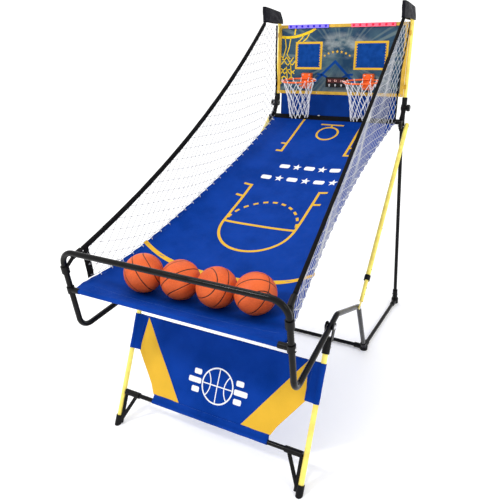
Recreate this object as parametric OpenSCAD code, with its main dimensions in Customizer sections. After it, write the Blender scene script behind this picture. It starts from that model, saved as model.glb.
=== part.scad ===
// Folding two-player basketball hoop machine: bent steel tube frame, cloth ramp
// with a ball tray, side nets, backboard with two rims, scorer and lights, four balls.
// The player stands at -Y. The origin is on the floor at the middle of the footprint.

/* [Frame] */
// Outside diameter of the black steel tubes
tube_d = 25; // [22:0.5:28]
// Outside diameter of the yellow steel tubes
strut_d = 24; // [20:0.5:26]
// Wall thickness of all steel tubes
tube_wall = 1.2; // [1:0.1:2]
// Half of the width over the front rail, to the tube's centre
rail_x = 525; // [500:5:560]
// Height of the front rail, to the tube's centre
rail_z = 1005; // [960:5:1050]
// Half of the width over the uprights, to the tube's centre
upright_x = 409; // [404:1:420]
// Height of the rear corner brackets
corner_z = 1262; // [1240:2:1280]
// Radius of the bends at the front rail's corners
rail_bend = 70; // [50:5:90]

/* [Front legs] */
// Angle of the front legs from upright
leg_tilt = 27.5; // [24:0.5:30]
// Height of the front crossbar
crossbar_z = 150; // [130:5:180]

/* [Ramp and tray] */
// How far the ramp cloth hangs below its own edges
ramp_sag = 70; // [40:5:90]
// Extra depth of the ball tray
tray_dip = 30; // [20:2:40]

/* [Backboard] */
// Width of the backboard over its frame
board_w = 800; // [796:2:816]
// Height of the backboard over its frame
board_h = 402; // [380:2:410]
// Angle that the backboard leans back
board_lean = 7.4; // [5:0.2:9]

/* [Rims] */
// Outside diameter of each rim
rim_d = 206; // [200:2:230]
// Diameter of the rim's rod
rod_d = 9; // [7:0.5:11]
// Half of the distance between the two rims' centres
rim_x = 195; // [180:5:210]
// Length of the net below the rim
net_len = 215; // [200:5:230]

/* [Balls] */
// Diameter of each ball
ball_d = 170; // [160:1:180]

/* [Hidden] */
$fn = 48;

black = [0.09, 0.09, 0.1];
plastic = [0.05, 0.05, 0.055];
yellow = [1, 0.88, 0.42];
blue = [0.03, 0.2, 0.6];
orange = [1, 0.4, 0.1];
slip = 0.15;                    // radial gap of a tube in its socket
skin = 1.5;                     // thickness of the cloth solids
bend_lap = 1;                   // how far a straight runs into its bend
bend_swell = 0.12;              // how much fatter a tube is round a bend

// corners of the right-hand half of the frame
rail_p = [rail_x, -955, rail_z];
vee_p = [rail_x, -918, 607];
bend_p = [495, -405, 654];
knee_p = [478, -48, 503];
mid_p = [405, 320, 16];
rear_p = [420, 945, 16];
corner_p = [upright_x + 5, 832, corner_z];
bar_p = [0, 832, corner_z - 12];
upright_low = [upright_x, 884, 1340];
upright_top = [upright_x, 944, 1812];
arm_tip = [upright_x, 774, 1834];
arm_seam = along(vee_p, bend_p, 0.9);

// straight-line helpers
function along(a, b, t) = a + (b - a) * t;
function at_y(a, b, y) = along(a, b, (y - a[1]) / (b[1] - a[1]));
function at_z(a, b, z) = along(a, b, (z - a[2]) / (b[2] - a[2]));
function unit(v) = v / norm(v);
function flip(p, s) = [s * p[0], p[1], p[2]];
function toward(a, b, d) = a + unit(b - a) * d;

// front legs turn about the bolts through the arms
leg_pivot = at_y(vee_p, bend_p, -497);
leg_dir = [0, -sin(leg_tilt), -cos(leg_tilt)];
leg_len = leg_pivot[2] / cos(leg_tilt);
crossbar_w = (leg_pivot[2] - crossbar_z) / cos(leg_tilt);

// tray bar and rail clamps sit on the loop's side tubes
tray_bar_p = at_z(vee_p, rail_p, 814);
clamp_p = at_z(vee_p, rail_p, 915);
pole_low = [508, -905, 962];
pole_top = [411, 744, 1812];
pole_d = 14;
pole_sag = 76;
pole_in = 22;

// strut ends: outside the knee's arm side and outside the rear post's top
strut_low = toward(knee_p, bend_p, 40) + [tube_d / 2 + 3, 0, 0];
strut_top = corner_p + [tube_d / 2 + strut_d / 2 + 5.5, -6, -34];
foot_screw = toward(rear_p, corner_p, 50);
strut_thin_d = 19;
strut_thin_len = 165;
bolt_r = 3;

// board frame of reference: origin at the middle of its lower edge, +Z up the board
board_t = 5;
frame_w = 18;
frame_t = 16;
board_y = 868.5;
board_z = upright_low[2] + 46;
rim_z = 1482;
rim_y = 741;
rim_up = (rim_z - board_z) / cos(board_lean);
scorer_size = [126, 34, 58];
scorer_up = 44;

// cloth ramp: v runs from the rear bar (0) to the tray bar (1), u across from -1 to 1
ramp_len = bar_p[1] - tray_bar_p[1];
function ramp_y(v) = bar_p[1] - ramp_len * v;
function ramp_w(v) = 393 - 144 * v + 261 * v * v;
function ramp_edge_z(v) = corner_z + 2 - 488 * v + 54 * pow(max(0, v - 0.75) / 0.25, 2);
function ramp_dip(v) = ramp_sag * sin(180 * pow(v, 1.3)) + tray_dip * sin(180 * max(0, v - 0.78) / 0.22);
function ramp_z(u, v) = ramp_edge_z(v) - ramp_dip(v) * (1 - pow(u, 4));
function ramp_at(u, v) = [u * ramp_w(v), ramp_y(v), ramp_z(u, v)];

// pole curve: t runs from the arm's tip (0) to the rail (1)
function pole_at(t) = along(pole_top, pole_low, t) - 4 * t * (1 - t) * [pole_in, 0, pole_sag];

ball_wall = 3;
ball_v = [0.912, 0.9, 0.898, 0.896];
ball_gap = 176;
function ball_x(k) = 24 + (k - 2.5) * ball_gap;
function ball_z(x, v) = ramp_z(x / ramp_w(v), v) + ball_d / 2 + 1.5 + pow(x / 200, 2);
function ball_c(k) = let (v = ball_v[k - 1]) [ball_x(k), ramp_y(v), ball_z(ball_x(k), v)];

// ---- construction helpers ----

// moves an upright child so that its +Z runs from a towards b
module aim(a, b) {
    d = unit(b - a);
    side = abs(d[2]) > 0.999 ? [1, 0, 0] : unit(cross([0, 0, 1], d));
    up = cross(d, side);
    multmatrix([[side[0], up[0], d[0], a[0]],
                [side[1], up[1], d[1], a[1]],
                [side[2], up[2], d[2], a[2]]])
        children();
}

module rod(a, b, d) {
    aim(a, b) cylinder(d = d, h = norm(b - a));
}

module ring_2d(d, wall) {
    difference() {
        circle(d = d);
        circle(d = d - 2 * wall);
    }
}

module pipe(a, b, d, wall = tube_wall) {
    aim(a, b) linear_extrude(norm(b - a)) ring_2d(d, wall);
}

// cut length at a bend of radius r between directions u and w
function cut(u, w, r) = r * tan(acos(u * w) / 2);

module elbow(p, u, w, r, d) {
    n = unit(w - u * (u * w));
    start = p - u * cut(u, w, r);
    centre = start + n * r;
    axis = cross(-n, u);
    multmatrix([[-n[0], u[0], axis[0], centre[0]],
                [-n[1], u[1], axis[1], centre[1]],
                [-n[2], u[2], axis[2], centre[2]]])
        rotate_extrude(angle = acos(u * w), $fn = 96) translate([r, 0]) circle(d = d);
}

// solid rod along the points p, bent to radius r[i] at each inner point, with over-long ends;
// each straight runs a little way into the bend, which is swollen as a bent tube is
module bent_rod(p, r, d, over = 0) {
    last = len(p) - 1;
    dirs = [for (i = [0 : last - 1]) unit(p[i + 1] - p[i])];
    function trim(i) = i == 0 || i == last ? -over : cut(dirs[i - 1], dirs[i], r[i - 1]) - bend_lap;
    for (i = [0 : last - 1])
        rod(p[i] + dirs[i] * trim(i), p[i + 1] - dirs[i] * trim(i + 1), d);
    for (i = [1 : last - 1])
        elbow(p[i], dirs[i - 1], dirs[i], r[i - 1], d + bend_swell);
}

module bent_pipe(p, r, d, wall = tube_wall) {
    difference() {
        bent_rod(p, r, d);
        bent_rod(p, r, d - 2 * wall, 1);
    }
}

// closed sheet over a grid of points g[row][column], thickened by the vector t
module sheet(g, t) {
    rows = len(g);
    cols = len(g[0]);
    n = rows * cols;
    top = [for (row = g) for (p = row) p];
    function id(i, j, k) = k * n + i * cols + j;
    function quad(a, b, c, d) = [[a, b, c], [a, c, d]];
    skins = [for (i = [0 : rows - 2]) for (j = [0 : cols - 2]) for (f = concat(
        quad(id(i, j, 0), id(i, j + 1, 0), id(i + 1, j + 1, 0), id(i + 1, j, 0)),
        quad(id(i, j, 1), id(i + 1, j, 1), id(i + 1, j + 1, 1), id(i, j + 1, 1)))) f];
    ends = [for (j = [0 : cols - 2]) for (f = concat(
        quad(id(0, j, 0), id(0, j, 1), id(0, j + 1, 1), id(0, j + 1, 0)),
        quad(id(rows - 1, j, 0), id(rows - 1, j + 1, 0), id(rows - 1, j + 1, 1), id(rows - 1, j, 1)))) f];
    flanks = [for (i = [0 : rows - 2]) for (f = concat(
        quad(id(i, 0, 0), id(i + 1, 0, 0), id(i + 1, 0, 1), id(i, 0, 1)),
        quad(id(i, cols - 1, 0), id(i, cols - 1, 1), id(i + 1, cols - 1, 1), id(i + 1, cols - 1, 0)))) f];
    polyhedron(concat(top, [for (p = top) p + t]), concat(skins, ends, flanks));
}

// hole along X through a tube or a socket
module cross_hole(p, r) {
    translate(p) rotate([0, 90, 0]) cylinder(r = r, h = 84, center = true);
}

module both() {
    children();
    mirror([1, 0, 0]) children();
}

module on_side(s) {
    mirror([s < 0 ? 1 : 0, 0, 0]) children();
}

module on_board() {
    translate([0, board_y, board_z]) rotate([-board_lean, 0, 0]) children();
}

// ---- black tube frame ----

module front_loop() {
    color(black) difference() {
        bent_pipe([flip(arm_seam, -1), flip(vee_p, -1), flip(rail_p, -1),
                   rail_p, vee_p, arm_seam], [55, rail_bend, rail_bend, 55], tube_d);
        both() cross_hole(leg_pivot, 4.1);
        both() cross_hole(tray_bar_p, bolt_r + 0.1);
    }
}

module mid_leg(s) {
    foot_end = toward(mid_p, knee_p, 20);
    spigot_end = toward(arm_seam, vee_p, 31);
    color(black) on_side(s) difference() {
        union() {
            bent_pipe([arm_seam, bend_p, knee_p, foot_end], [60, 50], tube_d);
            pipe(spigot_end, toward(arm_seam, bend_p, 6), tube_d - 2 * tube_wall - 0.2, 1.5);
            pipe(toward(arm_seam, bend_p, 2), toward(arm_seam, bend_p, 10), tube_d - 1, 2.2);
        }
        cross_hole(strut_low, bolt_r + 0.1);
    }
}

module base_crossbar() {
    color(black) pipe(toward(flip(mid_p, -1), mid_p, 20), toward(mid_p, flip(mid_p, -1), 20), 22);
}

module base_sides() {
    color(black) both() pipe(toward(mid_p, rear_p, 20), toward(rear_p, mid_p, 20), 22);
}

module rear_post(s) {
    color(black) on_side(s) difference() {
        pipe(toward(rear_p, corner_p, 20), corner_p, 22);
        cross_hole(strut_top, bolt_r + 0.1);
        cross_hole(foot_screw, bolt_r + 0.1);
    }
}

// three-way plastic foot: socket for the leg, the crossbar and the floor tube
module mid_feet() {
    color(plastic) both() difference() {
        union() {
            translate([mid_p[0], mid_p[1], 0]) cylinder(d = 46, h = 34);
            rod(mid_p, toward(mid_p, knee_p, 66), 32);
            rod(mid_p, toward(mid_p, rear_p, 58), 30);
            rod(mid_p, toward(mid_p, flip(mid_p, -1), 58), 30);
        }
        rod(toward(mid_p, knee_p, 20), toward(mid_p, knee_p, 90), tube_d + 2 * slip);
        rod(toward(mid_p, rear_p, 20), toward(mid_p, rear_p, 90), 22 + 2 * slip);
        rod(toward(mid_p, flip(mid_p, -1), 20), toward(mid_p, flip(mid_p, -1), 90), 22 + 2 * slip);
        translate([mid_p[0], mid_p[1], -60]) cube([240, 240, 120], center = true);
    }
}

// elbow foot: socket for the rear post and the floor tube, joined by a screw
module rear_feet() {
    color(plastic) both() difference() {
        union() {
            translate([rear_p[0], rear_p[1], 0]) cylinder(d = 45, h = 34);
            rod(rear_p, toward(rear_p, corner_p, 84), 32);
            rod(rear_p, toward(rear_p, mid_p, 62), 30);
        }
        rod(toward(rear_p, corner_p, 20), toward(rear_p, corner_p, 110), 22 + 2 * slip);
        rod(toward(rear_p, mid_p, 20), toward(rear_p, mid_p, 90), 22 + 2 * slip);
        cross_hole(foot_screw, bolt_r + 0.1);
        translate([rear_p[0], rear_p[1], -60]) cube([240, 240, 120], center = true);
    }
}

// ---- yellow struts from the knees to the rear corners ----

module strut(s) {
    thin_end = toward(strut_low, strut_top, strut_thin_len);
    tab_end = toward(strut_low, strut_top, 34);
    color(yellow) on_side(s) difference() {
        union() {
            aim(strut_low, strut_top) translate([-2, -10, 0]) cube([4, 20, 40]);
            translate(strut_low) rotate([0, 90, 0]) cylinder(r = 10, h = 4, center = true);
            pipe(tab_end, thin_end, strut_thin_d);
            pipe(thin_end, toward(strut_top, strut_low, -16), strut_d);
            rod(thin_end, toward(thin_end, strut_top, 3), strut_d - 1);
            rod(strut_top, toward(strut_top, strut_low, -16), strut_d - 1);
        }
        cross_hole(strut_low, bolt_r + 0.1);
        cross_hole(strut_top, bolt_r + 0.1);
    }
}

module strut_collars() {
    a = toward(strut_low, strut_top, strut_thin_len - 14);
    b = toward(strut_low, strut_top, strut_thin_len + 14);
    color(plastic) both() difference() {
        rod(a, b, strut_d + 7);
        rod(along(a, b, 0.5), toward(b, a, -5), strut_d + 2 * slip);
        rod(toward(a, b, -5), b, strut_thin_d + 2 * slip);
    }
}

// ---- rear corners ----

module corner_brackets() {
    color(plastic) both() difference() {
        union() {
            rod(toward(corner_p, rear_p, 62), toward(corner_p, rear_p, -14), 31);
            rod(corner_p + [0, 0, -12], corner_p + [-44, 0, -12], 30);
            translate(corner_p + [-4, -52, -42]) cube([14, 52, 44]);
            rod(corner_p, toward(corner_p, upright_low, 24), 30);
        }
        rod(toward(corner_p, rear_p, 90), corner_p, 22 + 2 * slip);
        rod(corner_p + [-60, 0, -12], corner_p + [-16, 0, -12], 22 + 2 * slip);
        translate(strut_top - [strut_d, 0, 0]) rotate([0, 90, 0])
            cylinder(r = bolt_r + 0.1, h = 60, center = true);
        translate(strut_top + [strut_d / 2, 0, 0]) cube([strut_d * 2 + 1, 70, 60], center = true);
    }
}

module ramp_rear_bar() {
    x = corner_p[0] - 16.5;
    color(black) pipe([-x, bar_p[1], bar_p[2]], [x, bar_p[1], bar_p[2]], 22);
}

knob_p = along(corner_p, upright_low, 0.8);

// knuckle that carries each upright, clamped by its knob
module upright_hinges() {
    base = toward(corner_p, upright_low, 24);
    color(plastic) both() difference() {
        union() {
            rod(base, upright_low, 27);
            rod(upright_low, toward(upright_low, upright_top, 41), 30);
            translate(knob_p) rotate([0, 90, 0]) cylinder(d = 36, h = 28, center = true);
        }
        rod(upright_low, toward(upright_low, upright_top, 60), strut_d - 2 + 2 * slip);
        translate(knob_p) rotate([0, 90, 0]) cylinder(r = 4.05, h = 60, center = true);
    }
}

module upright(s) {
    color(yellow) on_side(s)
        bent_pipe([upright_low, upright_top, arm_tip], [42], strut_d - 2);
}

// lobed hand knob on the hinge's bolt
module knob(s) {
    color(plastic) on_side(s) translate(knob_p) rotate([0, 90, 0]) union() {
        translate([0, 0, -16]) cylinder(r = 4, h = 32);
        translate([0, 0, 15]) cylinder(d = 24, h = 5);
        translate([0, 0, 18]) cylinder(d = 32, h = 17);
        for (i = [0 : 5])
            rotate(i * 60) translate([14, 0, 19]) cylinder(d = 11, h = 14, $fn = 24);
    }
}

// ---- tray bar and rail clamps ----

module tray_bar() {
    x = tray_bar_p[0] - 19;
    color(black) pipe([-x, tray_bar_p[1], tray_bar_p[2]], [x, tray_bar_p[1], tray_bar_p[2]], 19);
}

module tray_bar_hinges() {
    color(plastic) both() difference() {
        union() {
            rod(toward(tray_bar_p, rail_p, -15), toward(tray_bar_p, rail_p, 15), 34);
            rod(tray_bar_p, tray_bar_p - [50, 0, 0], 26);
        }
        rod(toward(tray_bar_p, rail_p, -30), toward(tray_bar_p, rail_p, 30), tube_d + 2 * slip);
        rod(tray_bar_p - [18.7, 0, 0], tray_bar_p - [70, 0, 0], 19 + 2 * slip);
        cross_hole(tray_bar_p, bolt_r + 0.1);
    }
}

module rail_clamps() {
    socket_end = toward(pole_low, pole_at(0.95), 44);
    color(plastic) both() difference() {
        union() {
            rod(toward(clamp_p, rail_p, -17), toward(clamp_p, rail_p, 17), 35);
            rod(toward(pole_low, pole_at(0.95), -8), socket_end, 24);
            rod(clamp_p, pole_low, 16);
        }
        rod(toward(clamp_p, rail_p, -30), toward(clamp_p, rail_p, 30), tube_d + 2 * slip);
        rod(toward(pole_low, pole_at(0.95), -1), toward(pole_low, pole_at(0.95), 80), pole_d + 1.4);
    }
}

// ---- side nets, poles and pockets ----

// long springy pole: an arc through the rail clamp and the arm's tip
module net_pole(s) {
    chord = pole_top - pole_low;
    droop = [-pole_in, 0, -pole_sag];
    x_axis = unit(chord);
    bow = droop - x_axis * (droop * x_axis);
    sag = norm(bow);
    y_axis = unit(bow);
    z_axis = cross(x_axis, y_axis);
    r = (pow(norm(chord) / 2, 2) + sag * sag) / (2 * sag);
    half = asin(norm(chord) / 2 / r);
    c = (pole_low + pole_top) / 2 - y_axis * (r - sag);
    color(plastic) on_side(s)
        multmatrix([[x_axis[0], y_axis[0], z_axis[0], c[0]],
                    [x_axis[1], y_axis[1], z_axis[1], c[1]],
                    [x_axis[2], y_axis[2], z_axis[2], c[2]]])
            rotate([0, 0, 90 - half]) rotate_extrude(angle = 2 * half, $fn = 360)
                translate([r, 0]) circle(d = pole_d);
}

// cloth hood over each forward arm
module pockets() {
    hood = [[728, 1897], [731, 1813], [860, 1800], [958, 1790], [958, 1812], [926, 1860]];
    hollow = [[730.2, 1894.3], [733.4, 1700], [955.8, 1700], [955.8, 1811.5], [924.8, 1857.8]];
    color(plastic) both() translate([upright_x, 0, 0]) rotate([90, 0, 90]) difference() {
        translate([0, 0, -14]) linear_extrude(28) polygon(hood);
        translate([0, 0, -12.2]) linear_extrude(24.4) polygon(hollow);
    }
}

// net wall from the pole and the upright down to the ramp's edge
net_rows = 22;
net_front_v = 0.957;
function hem_at(q) = q < 0.12
    ? along([upright_x - 2, 905, 1776], pole_top - [2, 0, 16], q / 0.12)
    : pole_at((q - 0.12) / 0.88 * 0.975) - [2, 0, 16];
function edge_at(q) = let (v = 0.022 + (net_front_v - 0.022) * q)
    [ramp_w(v) - 1, ramp_y(v), ramp_edge_z(v) + 6];
function net_at(q, h) = along(edge_at(q), hem_at(q), h) - 4 * h * (1 - h) * [6, 0, 0];

module side_net(s) {
    grid = [for (i = [0 : net_rows]) [for (j = [0 : 3]) net_at(i / net_rows, j / 3)]];
    color([0.85, 0.87, 0.9, 0.6]) on_side(s) sheet(grid, [-skin, 0, 0]);
}

// ---- cloth ramp and panels ----

module ramp_cloth() {
    rows = 36;
    cols = 14;
    v0 = 0.0115;
    v1 = 0.9875;
    grid = [for (i = [0 : rows]) [for (j = [0 : cols])
        ramp_at(2 * j / cols - 1, v0 + (v1 - v0) * i / rows)]];
    color(blue) sheet(grid, [0, 0, -skin]);
}

// cloth panel that closes the gap below the backboard
module back_cloth() {
    low = [bar_p[1] + 14, corner_z + 6];
    high = [board_y - 2, board_z - 5];
    color([0.02, 0.15, 0.5]) rotate([90, 0, 90]) translate([0, 0, -372]) linear_extrude(744)
        polygon([low, high, high + [skin, 0], low + [skin, 0]]);
}

// ---- backboard ----

module backboard() {
    color([0.2, 0.35, 0.5]) on_board() difference() {
        translate([-board_w / 2 + 3, -board_t / 2, 3]) cube([board_w - 6, board_t, board_h - 6]);
        for (x = [-rim_x, rim_x]) for (z = [-22, 22])
            translate([x, 0, rim_up + z]) rotate([90, 0, 0]) cylinder(r = 3.8, h = 30, center = true);
    }
}

module board_frame() {
    color(yellow) on_board() difference() {
        union() {
            translate([-board_w / 2, -frame_t / 2, 0]) cube([board_w, frame_t, board_h]);
            for (s = [-1, 1])
                for (lug = [[44, 1.8], [board_h - 68, 1]])
                    translate([s * (board_w / 2) - 13, frame_t / 2 - 5, lug[0]])
                        cube([26, 5 + lug[1], 24]);
        }
        translate([-board_w / 2 + frame_w, -frame_t, frame_w])
            cube([board_w - 2 * frame_w, 2 * frame_t, board_h - 2 * frame_w]);
        translate([-board_w / 2 + 2.8, -board_t / 2 - 0.2, 2.8])
            cube([board_w - 5.6, board_t + 0.4, board_h - 5.6]);
    }
}

// two lamp strips on the front of the frame's top bar, seven lamps each
module light_strips() {
    face = -frame_t / 2 - 0.3;
    color([0.5, 0.5, 1]) on_board() for (x = [-203, 197]) {
        translate([x - 131, face - 9, board_h - 21]) cube([262, 9, 22]);
        for (i = [-3 : 3])
            translate([x + i * 38, face - 8, board_h - 10]) rotate([90, 0, 0]) cylinder(d = 15, h = 5);
    }
}

button_x = [-38, 0, 38];

module scorer_housing() {
    w = scorer_size[0];
    d = scorer_size[1];
    h = scorer_size[2];
    color(plastic) on_board() translate([0, -board_t / 2 - 0.3, scorer_up]) {
        difference() {
            translate([-w / 2, -d, 0]) cube([w, d, h]);
            translate([-w / 2 + 2.5, -d + 2.5, 2.5]) cube([w - 5, d - 5, h - 5]);
            translate([-w / 2 + 9, -d - 1, 25]) cube([w - 18, 5, h - 33]);
            for (x = button_x)
                translate([x, -d - 1, 13]) rotate([-90, 0, 0]) cylinder(r = 5.1, h = 5);
            translate([w / 2 - 4, -d + 8, 10]) cube([6, d - 16, 30]);
        }
        for (x = [-50, 44])
            translate([x, -14.4, h / 2]) rotate([-90, 0, 0]) cylinder(r = 3, h = 13);
    }
}

module scorer_lens() {
    w = scorer_size[0];
    color([0.15, 0.02, 0.02]) on_board()
        translate([-w / 2 + 9.2, -board_t / 2 - 0.3 - scorer_size[1], scorer_up + 25.2])
            cube([w - 18.4, 2, scorer_size[2] - 33.4]);
}

module circuit_board() {
    w = scorer_size[0];
    color([0.05, 0.35, 0.15]) on_board() translate([0, -board_t / 2 - 0.3, scorer_up]) union() {
        translate([-w / 2 + 5, -16, 4]) cube([w - 14, 1.6, scorer_size[2] - 8]);
        for (x = button_x)
            translate([x, -24, 13]) rotate([-90, 0, 0]) cylinder(r = 3, h = 8.2);
    }
}

module battery_door() {
    w = scorer_size[0];
    d = scorer_size[1];
    at = [w / 2 - 2.3, -board_t / 2 - 0.3 - d + 8.4, scorer_up + 10.4];
    color(plastic) on_board() translate(at) union() {
        cube([2.2, d - 16.8, 29.2]);
        translate([2, 2, 10]) cube([1.5, d - 20.8, 2]);
        translate([2, 2, 16]) cube([1.5, d - 20.8, 2]);
    }
}

module button(i) {
    color([0.85, 0.85, 0.88]) on_board()
        translate([button_x[i], -board_t / 2 - 0.3 - scorer_size[1], scorer_up + 13])
            rotate([-90, 0, 0]) union() {
                translate([0, 0, -2.2]) cylinder(r = 5.03, h = 5.2);
                translate([0, 0, 3]) cylinder(r = 6.5, h = 1.5);
            }
}

// ---- rims ----

ring_r = (rim_d - rod_d) / 2;
bracket_y = board_y + sin(board_lean) * rim_up - board_t / 2 - 1.2;
paddle_pivot = [rim_x, bracket_y - 31, rim_z - 34];

module rim(s) {
    color(orange) translate([s * rim_x, rim_y, rim_z]) union() {
        rotate_extrude($fn = 96) translate([ring_r, 0]) circle(d = rod_d);
        translate([-18, ring_r - 1, -3]) cube([36, bracket_y - 26 - rim_y - ring_r + 1, 6]);
        for (x = [-14, 14])
            translate([x - 2, ring_r - 14, -2]) cube([4, 16, 4]);
    }
}

// bracket housing on the board: carries the ring above and the score paddle below
module rim_brackets() {
    color(orange) both() {
        difference() {
            union() {
                translate([rim_x - 30, bracket_y - 26, rim_z - 60]) cube([60, 46, 88]);
                translate([rim_x - 22, bracket_y - 34, rim_z - 26]) cube([44, 10, 18]);
                for (x = [-24, 18])
                    translate([rim_x + x, bracket_y - 38, rim_z - 44]) cube([6, 14, 20]);
            }
            on_board() translate([0, -board_t / 2 - 0.3, -100]) cube([900, 200, 700]);
            cross_hole(paddle_pivot, 2.2);
        }
        for (z = [-22, 22])
            on_board() translate([rim_x, -12, rim_up + z]) rotate([-90, 0, 0]) cylinder(r = 3, h = 22);
    }
}

// sprung paddle that each falling ball pushes down
module paddle(s) {
    color(orange) on_side(s) union() {
        translate(paddle_pivot - [25, 0, 0]) rotate([0, 90, 0]) cylinder(r = 2, h = 50);
        translate(paddle_pivot - [17, 0, 0]) rotate([0, 90, 0]) cylinder(r = 4, h = 34);
        translate(paddle_pivot + [-14, -52, -3.5]) cube([28, 50, 3]);
        translate(paddle_pivot + [0, -52, -3.5]) cylinder(r = 20, h = 3);
    }
}

// cord net: a tapering sleeve that hangs from the rim, parted at the back for the paddle
module rim_net(s) {
    top_r = ring_r - 7.5;
    low_r = 55;
    profile = [for (i = [0 : 8]) let (t = i / 8)
        [low_r + (top_r - low_r) * (0.25 * t + 0.75 * t * t), -net_len + (net_len - 6) * t]];
    color("white") translate([s * rim_x, rim_y, rim_z]) difference() {
        rotate_extrude($fn = 40)
            polygon(concat(profile, [for (i = [8 : -1 : 0]) profile[i] - [2, 0]]));
        translate([-27, 60, -74]) cube([54, 60, 80]);
    }
}

// ---- front leg frame ----

lock_w = 88;

function leg_at(w) = leg_pivot + leg_dir * w;

module leg(s) {
    color(yellow) on_side(s) difference() {
        pipe(leg_at(54), leg_at(leg_len - 22), strut_d);
        translate(leg_at(lock_w)) rotate([0, 90, 0]) cylinder(r = 4.2, h = 60);
    }
}

// forked socket that turns on the bolt through the arm
module leg_joints() {
    color(plastic) both() difference() {
        union() {
            rod(leg_at(44), leg_at(118), 34);
            for (x = [-19.5, 14.5])
                translate(leg_pivot + [x, 0, 0]) rotate([-leg_tilt, 0, 0]) union() {
                    rotate([0, 90, 0]) cylinder(r = 20, h = 5);
                    translate([0.2, -14, -62]) cube([4.6, 28, 62]);
                }
        }
        rod(leg_at(53), leg_at(140), strut_d + 2 * slip);
        cross_hole(leg_pivot, 4.05);
        translate(leg_at(lock_w)) rotate([0, 90, 0]) cylinder(r = 4.2, h = 60);
    }
}

module leg_crossbar() {
    p = leg_at(crossbar_w);
    x = p[0] - 21;
    color(black) pipe([-x, p[1], p[2]], [x, p[1], p[2]], 22);
}

// triangular foot bracket: cap under the leg, spine, brace and crossbar socket
module leg_feet() {
    bar = leg_at(crossbar_w);
    cap = leg_at(leg_len - 10);
    color(plastic) both() difference() {
        union() {
            rod(leg_at(leg_len - 46), leg_at(leg_len + 16), 33);
            rod(leg_at(crossbar_w) - [20, 0, 0], leg_at(leg_len - 12) - [20, 0, 0], 17);
            rod(bar - [16, 0, 0], bar - [100, 0, 0], 30);
            rod(bar - [84, 0, 0], cap - [8, 0, 0], 18);
        }
        rod(leg_at(crossbar_w - 60), leg_at(leg_len - 21.5), strut_d + 2 * slip);
        rod(bar - [20.7, 0, 0], bar - [140, 0, 0], 22 + 2 * slip);
        translate([leg_pivot[0], cap[1], -60]) cube([400, 400, 120], center = true);
    }
}

// cloth banner between the legs, cut away at its lower corners
module banner() {
    x = leg_pivot[0] - strut_d / 2 - 1;
    low = crossbar_w - 12;
    half = [[x, -162], [x, -336], [x - 42, -336], [x - 142, -482], [x - 170, -528], [x - 170, -low]];
    outline = concat(half, [for (i = [len(half) - 1 : -1 : 0]) [-half[i][0], half[i][1]]]);
    color(blue) translate([0, leg_pivot[1], leg_pivot[2]]) rotate([90 - leg_tilt, 0, 0])
        translate([0, 0, -skin / 2]) linear_extrude(skin) polygon(outline);
}

// sprung button that locks each leg tube in its socket
module lock_pin(s) {
    color([0.75, 0.75, 0.78]) on_side(s) translate(leg_at(lock_w)) rotate([0, 90, 0]) union() {
        translate([0, 0, 4]) cylinder(r = 4.15, h = 17);
        translate([0, 0, 4]) cylinder(r = 6, h = 2);
    }
}

// ---- fasteners ----

// dome-headed bolt and washer outside x1, with its nut inside x0
module bolt(p, r, x0, x1, nut = true) {
    translate([0, p[1], p[2]]) rotate([0, 90, 0]) union() {
        translate([0, 0, x0 - 5]) cylinder(r = r, h = x1 - x0 + 6);
        translate([0, 0, x1]) cylinder(r = r * 2.4, h = 1.2);
        translate([0, 0, x1 + 1]) cylinder(r1 = r * 1.9, r2 = r * 1.2, h = r);
        if (nut)
            translate([0, 0, x0 - 4.4]) cylinder(r = r * 1.9, h = 4.4, $fn = 6);
    }
}

module frame_bolts() {
    color([0.75, 0.75, 0.78]) both() {
        bolt(leg_pivot, 4, leg_pivot[0] - 19.7, leg_pivot[0] + 19.7);
        bolt(strut_low, bolt_r, strut_low[0] - tube_d - 3.6, strut_low[0] + 2.2);
        bolt(strut_top, bolt_r, corner_p[0] - 15.8, strut_top[0] + strut_d / 2 + 0.2);
        bolt(foot_screw, bolt_r, rear_p[0] - 16.3, rear_p[0] + 16.3);
        bolt(tray_bar_p, bolt_r, tray_bar_p[0] - 16, tray_bar_p[0] + 17.2, false);
    }
}

// ---- balls ----

// inflated ball: a closed rubber wall
module ball(k) {
    color(orange) translate(ball_c(k)) difference() {
        sphere(d = ball_d, $fn = 64);
        sphere(d = ball_d - 2 * ball_wall, $fn = 64);
    }
}

front_loop();
mid_leg(-1);  // mid_leg_left
mid_leg(1);  // mid_leg_right
base_crossbar();
base_sides();
mid_feet();
rear_feet();
rear_post(-1);  // rear_post_left
rear_post(1);  // rear_post_right
strut(-1);  // strut_left
strut(1);  // strut_right
strut_collars();
corner_brackets();
ramp_rear_bar();
upright_hinges();
upright(-1);  // upright_left
upright(1);  // upright_right
tray_bar();
tray_bar_hinges();
rail_clamps();
net_pole(-1);  // net_pole_left
net_pole(1);  // net_pole_right
pockets();
side_net(-1);  // side_net_left
side_net(1);  // side_net_right
ramp_cloth();
back_cloth();
backboard();
board_frame();
light_strips();
scorer_housing();
scorer_lens();
circuit_board();
battery_door();
button(0);  // button_power
button(1);  // button_mode
button(2);  // button_players
rim(-1);  // rim_left
rim(1);  // rim_right
rim_brackets();
rim_net(-1);  // rim_net_left
rim_net(1);  // rim_net_right
paddle(-1);  // paddle_left
paddle(1);  // paddle_right
frame_bolts();
knob(-1);  // knob_left
knob(1);  // knob_right
leg(-1);  // leg_left
leg(1);  // leg_right
leg_joints();
leg_crossbar();
leg_feet();
banner();
lock_pin(-1);  // lock_pin_left
lock_pin(1);  // lock_pin_right
ball(1);  // ball_1
ball(2);  // ball_2
ball(3);  // ball_3
ball(4);  // ball_4
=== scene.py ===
import math

import bmesh
import bpy
import numpy as np
from mathutils import Matrix, Vector, noise


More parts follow.
